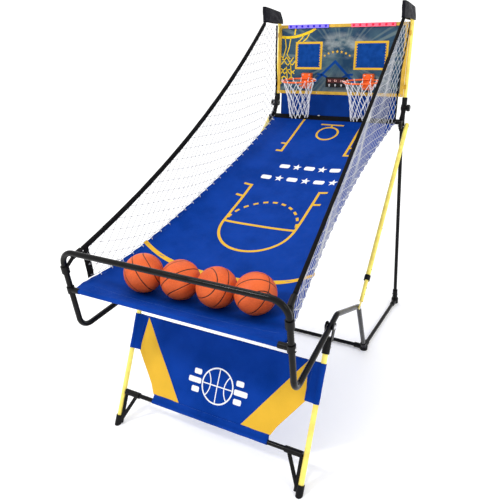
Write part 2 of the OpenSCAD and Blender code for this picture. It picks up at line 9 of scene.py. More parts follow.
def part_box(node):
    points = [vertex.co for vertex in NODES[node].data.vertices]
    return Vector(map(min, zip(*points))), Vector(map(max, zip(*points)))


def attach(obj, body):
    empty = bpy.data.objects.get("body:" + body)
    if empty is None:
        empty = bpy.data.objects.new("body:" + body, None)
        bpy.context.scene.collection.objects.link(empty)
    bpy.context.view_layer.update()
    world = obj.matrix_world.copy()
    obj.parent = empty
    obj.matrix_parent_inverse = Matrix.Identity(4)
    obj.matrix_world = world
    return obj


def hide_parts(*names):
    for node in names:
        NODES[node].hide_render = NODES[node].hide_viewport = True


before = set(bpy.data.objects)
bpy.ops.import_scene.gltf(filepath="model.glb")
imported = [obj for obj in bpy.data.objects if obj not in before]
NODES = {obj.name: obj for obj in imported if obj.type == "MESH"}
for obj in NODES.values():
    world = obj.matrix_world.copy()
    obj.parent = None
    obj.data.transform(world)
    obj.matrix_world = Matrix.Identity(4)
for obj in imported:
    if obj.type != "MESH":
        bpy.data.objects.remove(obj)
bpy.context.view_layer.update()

# Looks of the folding basketball hoop machine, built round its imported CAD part. Metres, +Z up, player at -Y.

MM = 0.001
SIDES = ((-1, "left"), (1, "right"))
RIGHT = np.array([1, 0, 0])
LEG_R = 12 * MM
CROSSBAR_R = 11 * MM
CLOTH = 0.8 * MM

# ---- places that the frame gives ----


def middle(node):
    lo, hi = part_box(node)
    return (lo + hi) / 2


tray_bar = middle("tray_bar")
rear_bar = middle("ramp_rear_bar")
tray_bar_r = (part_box("tray_bar")[1].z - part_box("tray_bar")[0].z) / 2
rear_bar_r = (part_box("ramp_rear_bar")[1].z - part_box("ramp_rear_bar")[0].z) / 2
upright_x = middle("upright_right").x

LEAN = math.radians(7.4)
FRAME_HALF = 8 * MM
BOARD_HALF = 2.5 * MM
frame_lo, frame_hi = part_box("board_frame")
BOARD_W = 0.8
board_at = Vector((0, frame_lo.y + FRAME_HALF * math.cos(LEAN), frame_lo.z + FRAME_HALF * math.sin(LEAN)))
BOARD_H = (frame_hi.z - board_at.z - FRAME_HALF * math.sin(LEAN)) / math.cos(LEAN)
BOARD = Matrix.Translation(board_at) @ Matrix.Rotation(-LEAN, 4, "X")

# ---- shapes of the cloths: v runs from the rear bar (0) to the tray bar (1), u across ----

RAMP_LEN = rear_bar.y - tray_bar.y
RAMP_TOP = rear_bar.z + 14 * MM
RAMP_DROP = 0.488
RAMP_SAG = 0.070
TRAY_DIP = 0.030


def ramp_half(v):
    return 0.393 - 0.144 * v + 0.261 * v * v


def ramp_height(u, v):
    edge = RAMP_TOP - RAMP_DROP * v + 0.054 * np.maximum(0, (v - 0.75) / 0.25) ** 2
    dip = RAMP_SAG * np.sin(np.pi * v**1.3) + TRAY_DIP * np.sin(np.pi * np.maximum(0, v - 0.78) / 0.22)
    return edge - dip * (1 - u**4)


def ripple(x, y):
    """Small folds of a taut cloth, in metres: long soft waves."""
    waves = 0
    swells = ((9, 31, 0.3, 0.5), (-14, 23, 1.9, 0.35), (25, 41, 4.1, 0.18), (-37, 18, 2.2, 0.12))
    for kx, ky, phase, size in swells:
        waves = waves + size * np.sin(kx * x + ky * y + phase + 1.3 * np.sin(6 * y + 4 * x + phase))
    return waves * MM


def ramp_z(x, y):
    v = (rear_bar.y - y) / RAMP_LEN
    return ramp_height(np.clip(x / ramp_half(v), -1, 1), v) + ripple(x, y)


# ---- mesh helpers ----


def link(name, mesh, material=None, body="stand", smooth=True):
    obj = bpy.data.objects.new(name, mesh)
    bpy.context.scene.collection.objects.link(obj)
    if material:
        mesh.materials.append(material)
    if smooth:
        mesh.polygons.foreach_set("use_smooth", [True] * len(mesh.polygons))
    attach(obj, body)
    return obj


def mesh_from(name, verts, faces):
    mesh = bpy.data.meshes.new(name)
    mesh.from_pydata([tuple(map(float, p)) for p in verts], [], [tuple(map(int, f)) for f in faces])
    mesh.validate()
    mesh.update()
    return mesh


def grid_faces(rows, cols, close_rows=False, close_cols=False, start=0):
    i, j = np.meshgrid(np.arange(rows - (not close_rows)), np.arange(cols - (not close_cols)), indexing="ij")
    i, j = i.ravel(), j.ravel()
    i1, j1 = (i + 1) % rows, (j + 1) % cols
    return start + np.stack([i * cols + j, i * cols + j1, i1 * cols + j1, i1 * cols + j], axis=1)


def sheet_mesh(name, grid, **closed):
    grid = np.asarray(grid, float)
    rows, cols = grid.shape[:2]
    return mesh_from(name, grid.reshape(-1, 3), grid_faces(rows, cols, **closed))


def thicken(obj, thickness=CLOTH, offset=0):
    mod = obj.modifiers.new("cloth", "SOLIDIFY")
    mod.thickness = thickness
    mod.offset = offset
    return obj


def cloth(name, grid, material, body="stand", slot="black_fabric", thickness=CLOTH, offset=0, **closed):
    """One piece of cloth: a grid of points made into a sheet with a real thickness."""
    return thicken(link(name, sheet_mesh(name, grid, **closed), material, body), thickness, offset)


def block_at(centre, size):
    return Matrix.Translation(centre) @ Matrix.Diagonal((*size, 1))


def blocks_mesh(name, blocks):
    """Mesh of unit cubes, each placed and sized by its own matrix."""
    bm = bmesh.new()
    for block in blocks:
        bmesh.ops.create_cube(bm, size=1, matrix=block)
    mesh = bpy.data.meshes.new(name)
    bm.to_mesh(mesh)
    bm.free()
    return mesh


def soften(obj, width=1 * MM, segments=2, angle=40):
    mod = obj.modifiers.new("edges", "BEVEL")
    mod.width = width
    mod.segments = segments
    mod.limit_method = "ANGLE"
    mod.angle_limit = math.radians(angle)
    mod.harden_normals = False
    return obj


def frames_along(points, up=(0, 0, 1)):
    """Tangent, side and up vectors at each point of a path."""
    p = np.asarray(points, float)
    t = np.gradient(p, axis=0)
    t /= np.linalg.norm(t, axis=1)[:, None]
    side = np.cross(t, np.asarray(up, float))
    side /= np.maximum(np.linalg.norm(side, axis=1), 1e-9)[:, None]
    return t, side, np.cross(side, t)


class Tubes:
    """Collects many round cords and knots into one mesh."""

    def __init__(self):
        self.verts, self.faces, self.count = [], [], 0

    def add(self, verts, faces):
        self.verts.append(np.asarray(verts, float).reshape(-1, 3))
        self.faces += (np.asarray(faces) + self.count).tolist()
        self.count += len(self.verts[-1])

    def cord(self, points, radius, sides=6, up=(0, 0, 1), closed=False):
        p = np.asarray(points, float)
        t, side, over = frames_along(p, up)
        a = np.arange(sides) * 2 * np.pi / sides
        ring = np.cos(a)[None, :, None] * side[:, None] + np.sin(a)[None, :, None] * over[:, None]
        radius = np.broadcast_to(np.asarray(radius, float), len(p))
        self.add(p[:, None] + radius[:, None, None] * ring, grid_faces(len(p), sides, closed, True))
        if not closed:
            n = len(p) * sides
            self.faces.append([self.count - n + k for k in range(sides)][::-1])
            self.faces.append([self.count - sides + k for k in range(sides)])

    def bead(self, at, radius, sides=6, rings=4, stretch=(1, 1, 1)):
        rows = []
        for i in range(1, rings):
            lift = np.pi * i / rings
            for k in range(sides):
                turn = 2 * np.pi * k / sides
                rows.append((np.sin(lift) * np.cos(turn), np.sin(lift) * np.sin(turn), np.cos(lift)))
        p = np.array([(0, 0, 1), (0, 0, -1)] + rows) * np.asarray(stretch) * radius + np.asarray(at, float)
        faces = grid_faces(rings - 1, sides, False, True, 2).tolist()
        last = 2 + (rings - 2) * sides
        fans = [[0, 2 + (k + 1) % sides, 2 + k] for k in range(sides)]
        fans += [[1, last + k, last + (k + 1) % sides] for k in range(sides)]
        base = self.count
        self.verts.append(p)
        self.faces += [[base + q for q in f] for f in faces + fans]
        self.count += len(p)

    def build(self, name, material, body="stand", slot=None):
        return link(name, mesh_from(name, np.concatenate(self.verts), self.faces), material, body)


def resample(points, step):
    p = np.asarray(points, float)
    along = np.concatenate([[0], np.cumsum(np.linalg.norm(np.diff(p, axis=0), axis=1))])
    at = np.linspace(0, along[-1], max(2, int(math.ceil(along[-1] / step)) + 1))
    return np.stack([np.interp(at, along, p[:, k]) for k in range(p.shape[1])], axis=1)


def arc(centre, radius, start, end, steps=48):
    a = np.radians(np.linspace(start, end, steps))
    return np.stack([centre[0] + radius * np.cos(a), centre[1] + radius * np.sin(a)], axis=1)


# ---- materials ----


class Look:
    """A principled material whose colour, roughness and bump come from node textures in object space."""

    def __init__(self, name, colour, roughness=0.5, metallic=0.0, specular=0.25):
        self.mat = bpy.data.materials.new(name)
        self.mat.use_nodes = True
        self.tree = self.mat.node_tree
        self.shader = self.tree.nodes["Principled BSDF"]
        self.coords = self.node("ShaderNodeTexCoord").outputs["Object"]
        self.colour = colour
        self.shader.inputs["Base Color"].default_value = (*colour, 1)
        self.shader.inputs["Roughness"].default_value = roughness
        self.shader.inputs["Metallic"].default_value = metallic
        self.shader.inputs["Specular IOR Level"].default_value = specular
        self.normal = None

    def node(self, kind, **settings):
        n = self.tree.nodes.new(kind)
        for key, value in settings.items():
            if key in n.inputs:
                n.inputs[key].default_value = value
            else:
                setattr(n, key, value)
        return n

    def wire(self, a, b):
        self.tree.links.new(a, b)
        return self

    def noise(self, scale, detail=3, stretch=(1, 1, 1), roughness=0.55):
        move = self.node("ShaderNodeMapping")
        move.inputs["Scale"].default_value = stretch
        self.wire(self.coords, move.inputs["Vector"])
        n = self.node("ShaderNodeTexNoise", Scale=scale, Detail=detail, Roughness=roughness)
        self.wire(move.outputs[0], n.inputs["Vector"])
        return n.outputs["Fac"]

    def wave(self, scale, axis, distortion=0.0):
        n = self.node("ShaderNodeTexWave", Scale=scale, Distortion=distortion)
        n.wave_type, n.bands_direction, n.wave_profile = "BANDS", axis, "SIN"
        self.wire(self.coords, n.inputs["Vector"])
        return n.outputs["Fac"]

    def cells(self, scale, feature="F1"):
        n = self.node("ShaderNodeTexVoronoi", Scale=scale)
        n.feature = feature
        self.wire(self.coords, n.inputs["Vector"])
        return n.outputs["Distance"]

    def math(self, operation, a, b=0.5, c=None):
        n = self.node("ShaderNodeMath", operation=operation)
        for socket, value in zip(n.inputs, (a, b, c)):
            if value is None:
                continue
            if isinstance(value, (int, float)):
                socket.default_value = value
            else:
                self.wire(value, socket)
        return n.outputs[0]

    def mul(self, a, b):
        return self.math("MULTIPLY", a, b)

    def add(self, a, b):
        return self.math("ADD", a, b)

    def sub(self, a, b):
        return self.math("SUBTRACT", a, b)

    def range(self, value, low, high, to_low=0.0, to_high=1.0):
        n = self.node("ShaderNodeMapRange")
        n.clamp = True
        for key, number in (("From Min", low), ("From Max", high), ("To Min", to_low), ("To Max", to_high)):
            n.inputs[key].default_value = number
        self.wire(value, n.inputs["Value"])
        return n.outputs["Result"]

    def mix(self, factor, a, b):
        n = self.node("ShaderNodeMix", data_type="RGBA")
        self.wire(factor, n.inputs[0])
        for socket, value in ((n.inputs[6], a), (n.inputs[7], b)):
            if isinstance(value, tuple):
                socket.default_value = (*value, 1)
            else:
                self.wire(value, socket)
        return n.outputs[2]

    def tone(self, value, amount=0.25, low=0.35, high=0.65):
        """Varies the base colour between a darker and a lighter tone by a texture."""
        dark = tuple(c * (1 - amount) for c in self.colour)
        light = tuple(min(1, c * (1 + amount) + 0.02 * amount) for c in self.colour)
        self.wire(self.mix(self.range(value, low, high), dark, light), self.shader.inputs["Base Color"])
        return self

    def paint(self, colour):
        self.wire(colour, self.shader.inputs["Base Color"])
        return self

    def rough(self, value, low, high):
        self.wire(self.range(value, 0.3, 0.7, low, high), self.shader.inputs["Roughness"])
        return self

    def bump(self, height, strength, distance):
        n = self.node("ShaderNodeBump", Strength=strength, Distance=distance)
        self.wire(height, n.inputs["Height"])
        if self.normal:
            self.wire(self.normal, n.inputs["Normal"])
        self.normal = n.outputs["Normal"]
        self.wire(self.normal, self.shader.inputs["Normal"])
        return self


def woven(name, colour, pitch=1.1 * MM, roughness=0.7, gloss=0.08, folds=True, amount=0.16):
    """Plain-weave cloth: two crossed bands in space, soft folds and a slightly blotchy dye."""
    look = Look(name, colour, roughness, 0.0, gloss)
    bands = 0.62 / (2 * pitch)
    crossed = look.add(look.wave(bands, "Y"), look.wave(bands, "Z"))
    weave = look.mul(look.wave(bands, "X"), crossed)
    blotch = look.noise(7, 4)
    look.tone(look.add(look.mul(weave, 0.18), look.mul(blotch, 0.9)), amount)
    look.rough(look.noise(40, 2), roughness - 0.08, roughness + 0.08)
    if folds:
        look.bump(look.noise(14, 3, (1, 0.6, 1)), 0.25, 6 * MM)
    look.bump(weave, 0.35, 0.25 * MM)
    return look.mat


def coated_steel(name, colour, roughness=0.3, coat=0.0, gloss=0.25):
    """Powder-coated tube: faint orange peel, dust specks and slightly duller patches."""
    look = Look(name, colour, roughness, 0.0, gloss)
    look.shader.inputs["Coat Weight"].default_value = coat
    look.shader.inputs["Coat Roughness"].default_value = 0.15
    look.tone(look.noise(22, 4), 0.12)
    look.rough(look.noise(35, 4), roughness - 0.06, roughness + 0.1)
    look.bump(look.noise(650, 2), 0.12, 0.25 * MM)
    return look.mat


def moulded(name, colour, roughness=0.45, grain=0.16, gloss=0.25):
    look = Look(name, colour, roughness, 0.0, gloss)
    look.tone(look.noise(30, 3), 0.15)
    look.rough(look.noise(60, 3), roughness - 0.06, roughness + 0.08)
    look.bump(look.noise(1500, 2), grain, 0.2 * MM)
    return look.mat


def metal(name, colour, roughness=0.28):
    look = Look(name, colour, roughness, 1.0)
    look.tone(look.noise(300, 3), 0.12)
    look.rough(look.noise(180, 4), roughness - 0.08, roughness + 0.14)
    look.bump(look.noise(900, 2), 0.1, 0.1 * MM)
    return look.mat


def twisted_cord(name, colour):
    look = Look(name, colour, 0.8, 0.0, 0.1)
    strand = look.wave(420, "DIAGONAL", 1.0)
    grime = look.mul(look.noise(60, 2), 0.5)
    look.tone(look.add(look.mul(strand, 0.5), grime), 0.12)
    look.bump(strand, 0.4, 0.3 * MM)
    return look.mat


def ball_rubber():
    """Pebbled orange rubber with black seams: two great circles and a bowed curve on either side."""
    look = Look("ball_rubber", (0.74, 0.125, 0.024), 0.5)
    parts = look.node("ShaderNodeSeparateXYZ")
    unit = look.node("ShaderNodeVectorMath", operation="NORMALIZE")
    look.wire(look.coords, unit.inputs[0])
    look.wire(unit.outputs[0], parts.inputs[0])
    x = look.math("ABSOLUTE", parts.outputs[0])
    z = look.math("ABSOLUTE", parts.outputs[2])
    bow = look.mul(look.mul(z, z), 0.3)
    away_x = look.sub(look.sub(x, 0.50), bow)
    side = look.mul(look.math("ABSOLUTE", away_x), 1.1)
    gap = look.math("MINIMUM", look.math("MINIMUM", x, z), side)
    pebbles = look.cells(330, "SMOOTH_F1")
    shade = look.add(look.mul(look.noise(9, 3), 0.8), look.mul(pebbles, 0.35))
    skin = look.mix(look.range(shade, 0.35, 0.65), (0.52, 0.072, 0.012), (0.74, 0.125, 0.026))
    look.paint(look.mix(look.range(gap, 0.021, 0.027), (0.012, 0.009, 0.008), skin))
    look.rough(pebbles, 0.42, 0.58)
    look.bump(pebbles, 0.55, 0.6 * MM)
    return look.mat


def glowing(name, colour, power, roughness=0.3):
    look = Look(name, colour, roughness)
    look.shader.inputs["Emission Color"].default_value = (*colour, 1)
    look.shader.inputs["Emission Strength"].default_value = power
    look.tone(look.noise(120, 2), 0.1)
    look.bump(look.noise(500, 2), 0.06, 0.1 * MM)
    return look.mat


def board_print():
    """Dusty teal panel with pale rays from the middle and a soft pale cloud above it."""
    look = Look("board_print", (0.10, 0.17, 0.20), 0.4, 0.0, 0.12)
    parts = look.node("ShaderNodeSeparateXYZ")
    look.wire(look.coords, parts.inputs[0])
    x = look.sub(parts.outputs[0], 0.02)
    up = look.sub(parts.outputs[2], board_at.z + 0.205)
    turn = look.math("ARCTAN2", up, x)
    rays = look.mul(*(look.math("SINE", look.mul(turn, n)) for n in (33, 19)))
    away = look.math("SQRT", look.add(look.mul(x, x), look.mul(up, up)))
    ray_mask = look.mul(look.range(rays, 0.2, 0.75), look.range(away, 0.05, 0.25))
    base = look.mix(look.range(look.noise(9, 5), 0.38, 0.66), (0.005, 0.036, 0.085), (0.065, 0.125, 0.15))
    stand = look.mix(look.noise(14, 4), (0.004, 0.036, 0.115), (0.045, 0.1, 0.135))
    base = look.mix(look.range(away, 0.1, 0.42), base, stand)
    rayed = look.mix(look.mul(ray_mask, 0.5), base, (0.20, 0.26, 0.24))
    drift = look.noise(11, 4, (1, 1, 1.6))
    top = look.sub(up, 0.075)
    wide = look.mul(look.mul(x, x), 22)
    tall = look.mul(look.mul(top, top), 150)
    spot = look.add(wide, tall)
    cloud = look.mul(look.range(spot, 0.0, 1.0, 1.0, 0.0), look.range(drift, 0.42, 0.62))
    painted = look.mix(look.mul(cloud, 0.75), rayed, (0.40, 0.43, 0.41))
    low = look.sub(0.10, look.add(up, 0.16))
    glow = look.mul(look.range(low, 0.0, 0.12), look.range(look.math("ABSOLUTE", x), 0.16, 0.02))
    look.paint(look.mix(look.mul(glow, 0.55), painted, (0.27, 0.30, 0.28)))
    look.bump(look.noise(300, 2), 0.05, 0.2 * MM)
    return look.mat


TUBE_BLACK = coated_steel("tube_black", (0.002, 0.002, 0.0022), 0.2, 0.0, 0.14)
TUBE_YELLOW = coated_steel("tube_yellow", (0.97, 0.76, 0.155), 0.3, 0.1)
PLASTIC = moulded("black_plastic", (0.0025, 0.0025, 0.003), 0.38, 0.16, 0.14)
BOARD_YELLOW = moulded("board_frame_yellow", (0.62, 0.37, 0.035), 0.38, 0.08)
RAMP_BLUE = woven("ramp_cloth", (0.0004, 0.036, 0.27), 0.9 * MM, 0.55, 0.03)
BACK_BLUE = woven("back_cloth", (0.0008, 0.032, 0.22), 0.9 * MM, 0.6, 0.04)
BANNER_BLUE = woven("banner_cloth", (0.0004, 0.035, 0.265), 0.9 * MM, 0.6, 0.03)
BLACK_CLOTH = woven("black_webbing", (0.0035, 0.0035, 0.004), 1.4 * MM, 0.8)
POCKET_CLOTH = woven("pocket_cloth", (0.0045, 0.0045, 0.009), 1.0 * MM, 0.5)
INK_YELLOW = woven("yellow_ink", (0.72, 0.42, 0.032), 0.9 * MM, 0.5, 0.08, False, 0.06)
INK_WHITE = woven("white_ink", (0.84, 0.85, 0.87), 0.9 * MM, 0.5, 0.08, False, 0.03)
INK_BLUE = moulded("blue_ink", (0.0004, 0.045, 0.24), 0.45, 0.04, 0.05)
CORD = twisted_cord("white_cord", (0.82, 0.83, 0.86))
# The side nets' cords are the same white cord as CORD; this copy is painted grey as a painted shade, so the thin
# cords read as shaded against the white floor.
SIDE_NET_CORD_PAINTED_SHADE = twisted_cord("white_cord_painted_shade", (0.48, 0.49, 0.52))
THREAD = twisted_cord("thread", (0.10, 0.19, 0.55))
ORANGE_STEEL = coated_steel("rim_orange", (0.88, 0.125, 0.014), 0.3, 0.1)
ORANGE_PLASTIC = moulded("orange_plastic", (0.90, 0.13, 0.014), 0.4, 0.08)
ZINC = metal("zinc", (0.62, 0.62, 0.64))
NET_YELLOW = woven("bright_yellow_ink", (0.86, 0.58, 0.02), 0.9 * MM, 0.5, 0.08, False, 0.08)
BALL = ball_rubber()
BUTTON = moulded("button_grey", (0.55, 0.56, 0.58), 0.4)
BOARD_PRINT = board_print()
BOARD_BACK = moulded("board_back", (0.11, 0.09, 0.07), 0.7, 0.3)
LENS = moulded("scorer_window", (0.05, 0.004, 0.005), 0.12, 0.02)
LAMP_LILAC = glowing("lamp_lilac", (0.22, 0.17, 0.85), 0.2)
LAMP_PINK = glowing("lamp_pink", (0.95, 0.13, 0.21), 0.2)
DOME_BLUE = glowing("dome_blue", (0.02, 0.005, 0.42), 0.25)
DOME_RED = glowing("dome_red", (0.75, 0.01, 0.05), 0.25)
DIGITS = glowing("digits", (0.95, 0.5, 0.42), 1.0)
CIRCUIT = moulded("circuit_green", (0.01, 0.11, 0.045), 0.4, 0.1)


# ---- small builders used by the pieces ----

BOARD_NP = np.array(BOARD)


def on_board(points):
    p = np.asarray(points, float)
    return p @ BOARD_NP[:3, :3].T + BOARD_NP[:3, 3]


def line(a, b, t):
    a, b = np.asarray(a, float), np.asarray(b, float)
    return a + (b - a) * np.asarray(t, float)[..., None]


def ribbon(points, width, closed=False, step=8 * MM):
    """Flat stroke of a given width along a 2-D path, as (verts, faces), with mitred corners."""
    p = np.asarray(points, float)
    if closed:
        p = np.vstack([p, p[:1]])
    legs = [resample(p[k : k + 2], step)[:-1] for k in range(len(p) - 1)]
    p = np.vstack(legs + [p[-1:]])
    d = np.diff(p, axis=0)
    d /= np.maximum(np.linalg.norm(d, axis=1), 1e-9)[:, None]
    before = np.vstack([d[-1:] if closed else d[:1], d])
    after = np.vstack([d, d[:1] if closed else d[-1:]])
    bend = before + after
    bend /= np.maximum(np.linalg.norm(bend, axis=1), 1e-9)[:, None]
    mitre = 1 / np.maximum((bend * after).sum(1), 0.5)
    side = np.stack([-bend[:, 1], bend[:, 0]], axis=1) * (mitre * width / 2)[:, None]
    verts = np.stack([p + side, p - side], axis=1).reshape(-1, 2)
    return verts, grid_faces(len(p), 2)


def patch(outline, step=15 * MM):
    """Filled 2-D outline cut into small triangles, as (verts, faces)."""
    bm = bmesh.new()
    face = bm.faces.new([bm.verts.new((x, y, 0)) for x, y in outline])
    bmesh.ops.triangulate(bm, faces=[face])
    for _ in range(6):
        long = [e for e in bm.edges if e.calc_length() > step]
        if not long:
            break
        bmesh.ops.subdivide_edges(bm, edges=long, cuts=1)
        bmesh.ops.triangulate(bm, faces=bm.faces[:])
    bm.verts.index_update()
    verts = np.array([v.co[:2] for v in bm.verts])
    faces = [[v.index for v in f.verts] for f in bm.faces]
    bm.free()
    return verts, faces


class Print:
    """Flat artwork gathered from strokes and fills, then laid onto a surface."""

    def __init__(self, place):
        self.place, self.verts, self.faces, self.count = place, [], [], 0

    def take(self, verts, faces):
        self.verts.append(verts)
        self.faces += [[self.count + int(q) for q in f] for f in faces]
        self.count += len(verts)
        return self

    def stroke(self, points, width, closed=False):
        return self.take(*ribbon(points, width, closed))

    def fill(self, outline):
        return self.take(*patch(outline))

    def build(self, name, material, body="stand", slot=None):
        mesh = mesh_from(name, self.place(np.concatenate(self.verts)), self.faces)
        return link(name, mesh, material, body)


def box_outline(x0, y0, x1, y1):
    return [(x0, y0), (x1, y0), (x1, y1), (x0, y1)]


def rounded(outline, radius, steps=5):
    out = []
    p = np.asarray(outline, float)
    for k in range(len(p)):
        a, b, c = p[k - 1], p[k], p[(k + 1) % len(p)]
        u, w = (a - b) / np.linalg.norm(a - b), (c - b) / np.linalg.norm(c - b)
        for t in np.linspace(0, 1, steps):
            out.append(b + u * radius * (1 - t) ** 2 + w * radius * t**2)
    return out


def star(x, y, r):
    a = np.radians(90 + 36 * np.arange(10))
    radius = np.where(np.arange(10) % 2, 0.42 * r, r)
    return np.stack([x + radius * np.cos(a), y + radius * np.sin(a)], axis=1)


def stitches(name, path, up, pitch=4 * MM, length=2.6 * MM, material=None, body="stand", slot=None):
    """Row of small thread stitches along a path that already lies on the cloth."""
    thread = Tubes()
    p = resample(path, pitch)
    for a, b in zip(p[:-1], p[1:]):
        d = (b - a) / max(np.linalg.norm(b - a), 1e-9)
        lift = np.asarray(up, float) * 0.35 * MM
        thread.cord([a, a + d * length / 2 + lift, a + d * length], 0.3 * MM, 4)
    return thread.build(name, material or THREAD, body, slot)


def sleeve(path, radius, tail, down, seg=16):
    """Teardrop section round a rod: a loop of cloth whose two layers meet 'tail' away in direction down."""
    p = np.asarray(path, float)
    down = np.broadcast_to(np.asarray(down, float), p.shape)
    t = np.gradient(p, axis=0)
    t /= np.linalg.norm(t, axis=1)[:, None]
    down = down - t * (down * t).sum(1)[:, None]
    down /= np.linalg.norm(down, axis=1)[:, None]
    side = np.cross(t, down)

    def flap(k, way):
        spread = radius * 0.5 * (1 - k) ** 1.5 + 0.6 * MM
        return p + down * (radius + (tail - radius) * k) + way * side * spread

    rows = []
    for a in np.radians(np.linspace(150, -150, seg)):
        rows.append(p - down * radius * np.cos(a) + side * radius * np.sin(a))
    rows += [flap(k, -1) for k in (0.35, 0.7, 1)]
    rows += [flap(k, 1) for k in (1, 0.7, 0.35)]
    return np.stack(rows, axis=1)


def crumple(grid, size, scale=9.0, seed=0.0):
    """Adds soft folds to a grid of points along its own normals."""
    g = np.asarray(grid, float)
    du, dv = np.gradient(g, axis=0), np.gradient(g, axis=1)
    n = np.cross(du, dv)
    n /= np.maximum(np.linalg.norm(n, axis=2), 1e-12)[..., None]
    push = np.array([[noise.noise(Vector(p) * scale + Vector((seed, 0, seed))) for p in row] for row in g])
    return g + n * (push * size)[..., None]


# ---- CAD nodes that stay visible: finish and eased edges ----

FINISH = {
    TUBE_BLACK: ("front_loop", "mid_leg_left", "mid_leg_right", "base_crossbar", "base_sides", "rear_post_left",
                 "rear_post_right", "ramp_rear_bar", "tray_bar", "leg_crossbar"),
    TUBE_YELLOW: ("strut_left", "strut_right", "upright_left", "upright_right", "leg_left", "leg_right"),
    PLASTIC: ("mid_feet", "rear_feet", "strut_collars", "corner_brackets", "upright_hinges",
              "knob_left", "knob_right", "tray_bar_hinges", "rail_clamps", "net_pole_left",
              "net_pole_right", "scorer_housing", "battery_door", "leg_joints", "leg_feet"),
    BOARD_YELLOW: ("board_frame",),
    BOARD_BACK: ("backboard",),
    ZINC: ("frame_bolts", "lock_pin_left", "lock_pin_right"),
    ORANGE_STEEL: ("rim_left", "rim_right"),
    ORANGE_PLASTIC: ("rim_brackets", "paddle_left", "paddle_right"),
    BUTTON: ("button_power", "button_mode", "button_players"),
    LENS: ("scorer_lens",),
    CIRCUIT: ("circuit_board",),
}
for material, names in FINISH.items():
    for node in names:
        NODES[node].data.materials.clear()
        NODES[node].data.materials.append(material)
for node, width in (("mid_feet", 1.5), ("rear_feet", 1.5), ("corner_brackets", 1.5), ("upright_hinges", 1.2),
                    ("tray_bar_hinges", 1.2), ("rail_clamps", 1.2), ("leg_joints", 1.2), ("leg_feet", 1.5),
                    ("strut_collars", 1.5), ("board_frame", 1.5), ("scorer_housing", 1.5), ("rim_brackets", 4),
                    ("paddle_left", 0.8), ("paddle_right", 0.8), ("knob_left", 1.2), ("knob_right", 1.2),
                    ("frame_bolts", 0.4), ("battery_door", 0.5)):
    soften(NODES[node], width * MM, 3)

# ---- cloth ramp with its print, hems and lacing ----

V_REAR, V_FRONT = 0.024, 0.972


def ramp_point(u, v, lift=0.0):
    half = ramp_half(v) - 4 * MM * (0.5 - 0.5 * np.cos(2 * np.pi * v * RAMP_LEN / 0.062)) * u**8
    x, y = np.broadcast_arrays(u * half, rear_bar.y - v * RAMP_LEN)
    return np.stack([x, y, ramp_height(u, v) + ripple(x, y) * (1 - u**8) + lift], axis=-1)


def round_bar(bar, radius, start, end, steps):
    """Arc in y and z round a bar, by angles in degrees from its rear side."""
    a = np.radians(np.linspace(start, end, steps))
    return np.stack([bar.y - radius * np.cos(a), bar.z + radius * np.sin(a)], axis=1)


cols = np.linspace(-1, 1, 97)
body_v = np.linspace(V_REAR, V_FRONT, 178)
main = ramp_point(cols[None, :], body_v[:, None])
hem_rows = []
for j in range(len(cols)):
    x, y, z = main[-1, j]
    turn = round_bar(tray_bar, tray_bar_r + 1.4 * MM, 100, -120, 16)
    path = np.vstack([turn, line(turn[-1], (y + 2 * MM, z - 2.2 * MM), np.linspace(0.2, 1, 5))])
    hem_rows.append(np.column_stack([np.full(len(path), x), path]))
hem = np.transpose(np.array(hem_rows), (1, 0, 2))
ramp = cloth("ramp_fabric", np.concatenate([main, hem]), RAMP_BLUE, slot="ramp_fabric", offset=1)
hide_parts("ramp_cloth")

rear_rows = []
turn = round_bar(rear_bar, rear_bar_r + 1.6 * MM, 62, 300, 18)
for u in cols:
    x, y, z = ramp_point(u, np.array(V_REAR + 0.008))
    up = line((y, z + 0.9 * MM), turn[0], np.linspace(0, 0.85, 4))
    back = line(turn[-1], (y, z - 2.4 * MM), np.linspace(0.15, 1, 4))
    over = np.vstack([up, turn, back])
    rear_rows.append(np.column_stack([np.full(len(over), x * 0.985), over]))
rear_grid = crumple(np.transpose(np.array(rear_rows), (1, 0, 2)), 0.8 * MM, 30)
rear_sleeve = cloth("rear_bar_sleeve", rear_grid, BLACK_CLOTH, thickness=1 * MM)


def on_ramp(points, lift=0.7 * MM):
    p = np.asarray(points, float)
    return np.stack([p[:, 0], p[:, 1], ramp_z(p[:, 0], p[:, 1]) + lift], axis=1)


KEY_LOW, KEY_TOP, KEY_HALF = -0.187, 0.115, 0.197
court = Print(on_ramp)
for s, _ in SIDES:
    key = [(s * KEY_HALF, KEY_LOW), (s * KEY_HALF, KEY_TOP), (s * (KEY_HALF + 0.045), KEY_TOP)]
    court.stroke(key, 14 * MM)
    court.stroke([(s * KEY_HALF, 0.02), (s * (KEY_HALF + 0.045), 0.02)], 14 * MM)
court.stroke([(-KEY_HALF, KEY_LOW), (KEY_HALF, KEY_LOW)], 14 * MM)
court.stroke(arc((0, KEY_LOW), KEY_HALF, 180, 360), 14 * MM)
for k in range(11):
    a = 8 + k * 15.6
    court.stroke(arc((0, KEY_LOW), KEY_HALF - 0.006, a, a + 8, 6), 13 * MM)
for s, lane in ((-1, -0.172), (1, 0.208)):
    court.stroke([(lane, 0.803), (lane, 0.44), (lane + s * 0.036, 0.44)], 14 * MM)
    court.stroke([(lane, 0.512), (lane + s * 0.036, 0.512)], 13 * MM)
court.stroke(arc((0.03, 0.64), 0.062, 0, 360, 64)[:-1], 12 * MM, True)
court.stroke([(-0.042, 0.73), (0.1, 0.73)], 12 * MM)
court.stroke([(0.03, 0.73), (0.03, 0.703)], 11 * MM)
xs = np.linspace(-0.47, 0.47, 61)
court.stroke(np.stack([xs, -0.58 + xs**2 / 3.4], axis=1)[2:-2], 22 * MM)
court_obj = court.build("ramp_print_yellow", INK_YELLOW, slot="ramp_fabric")

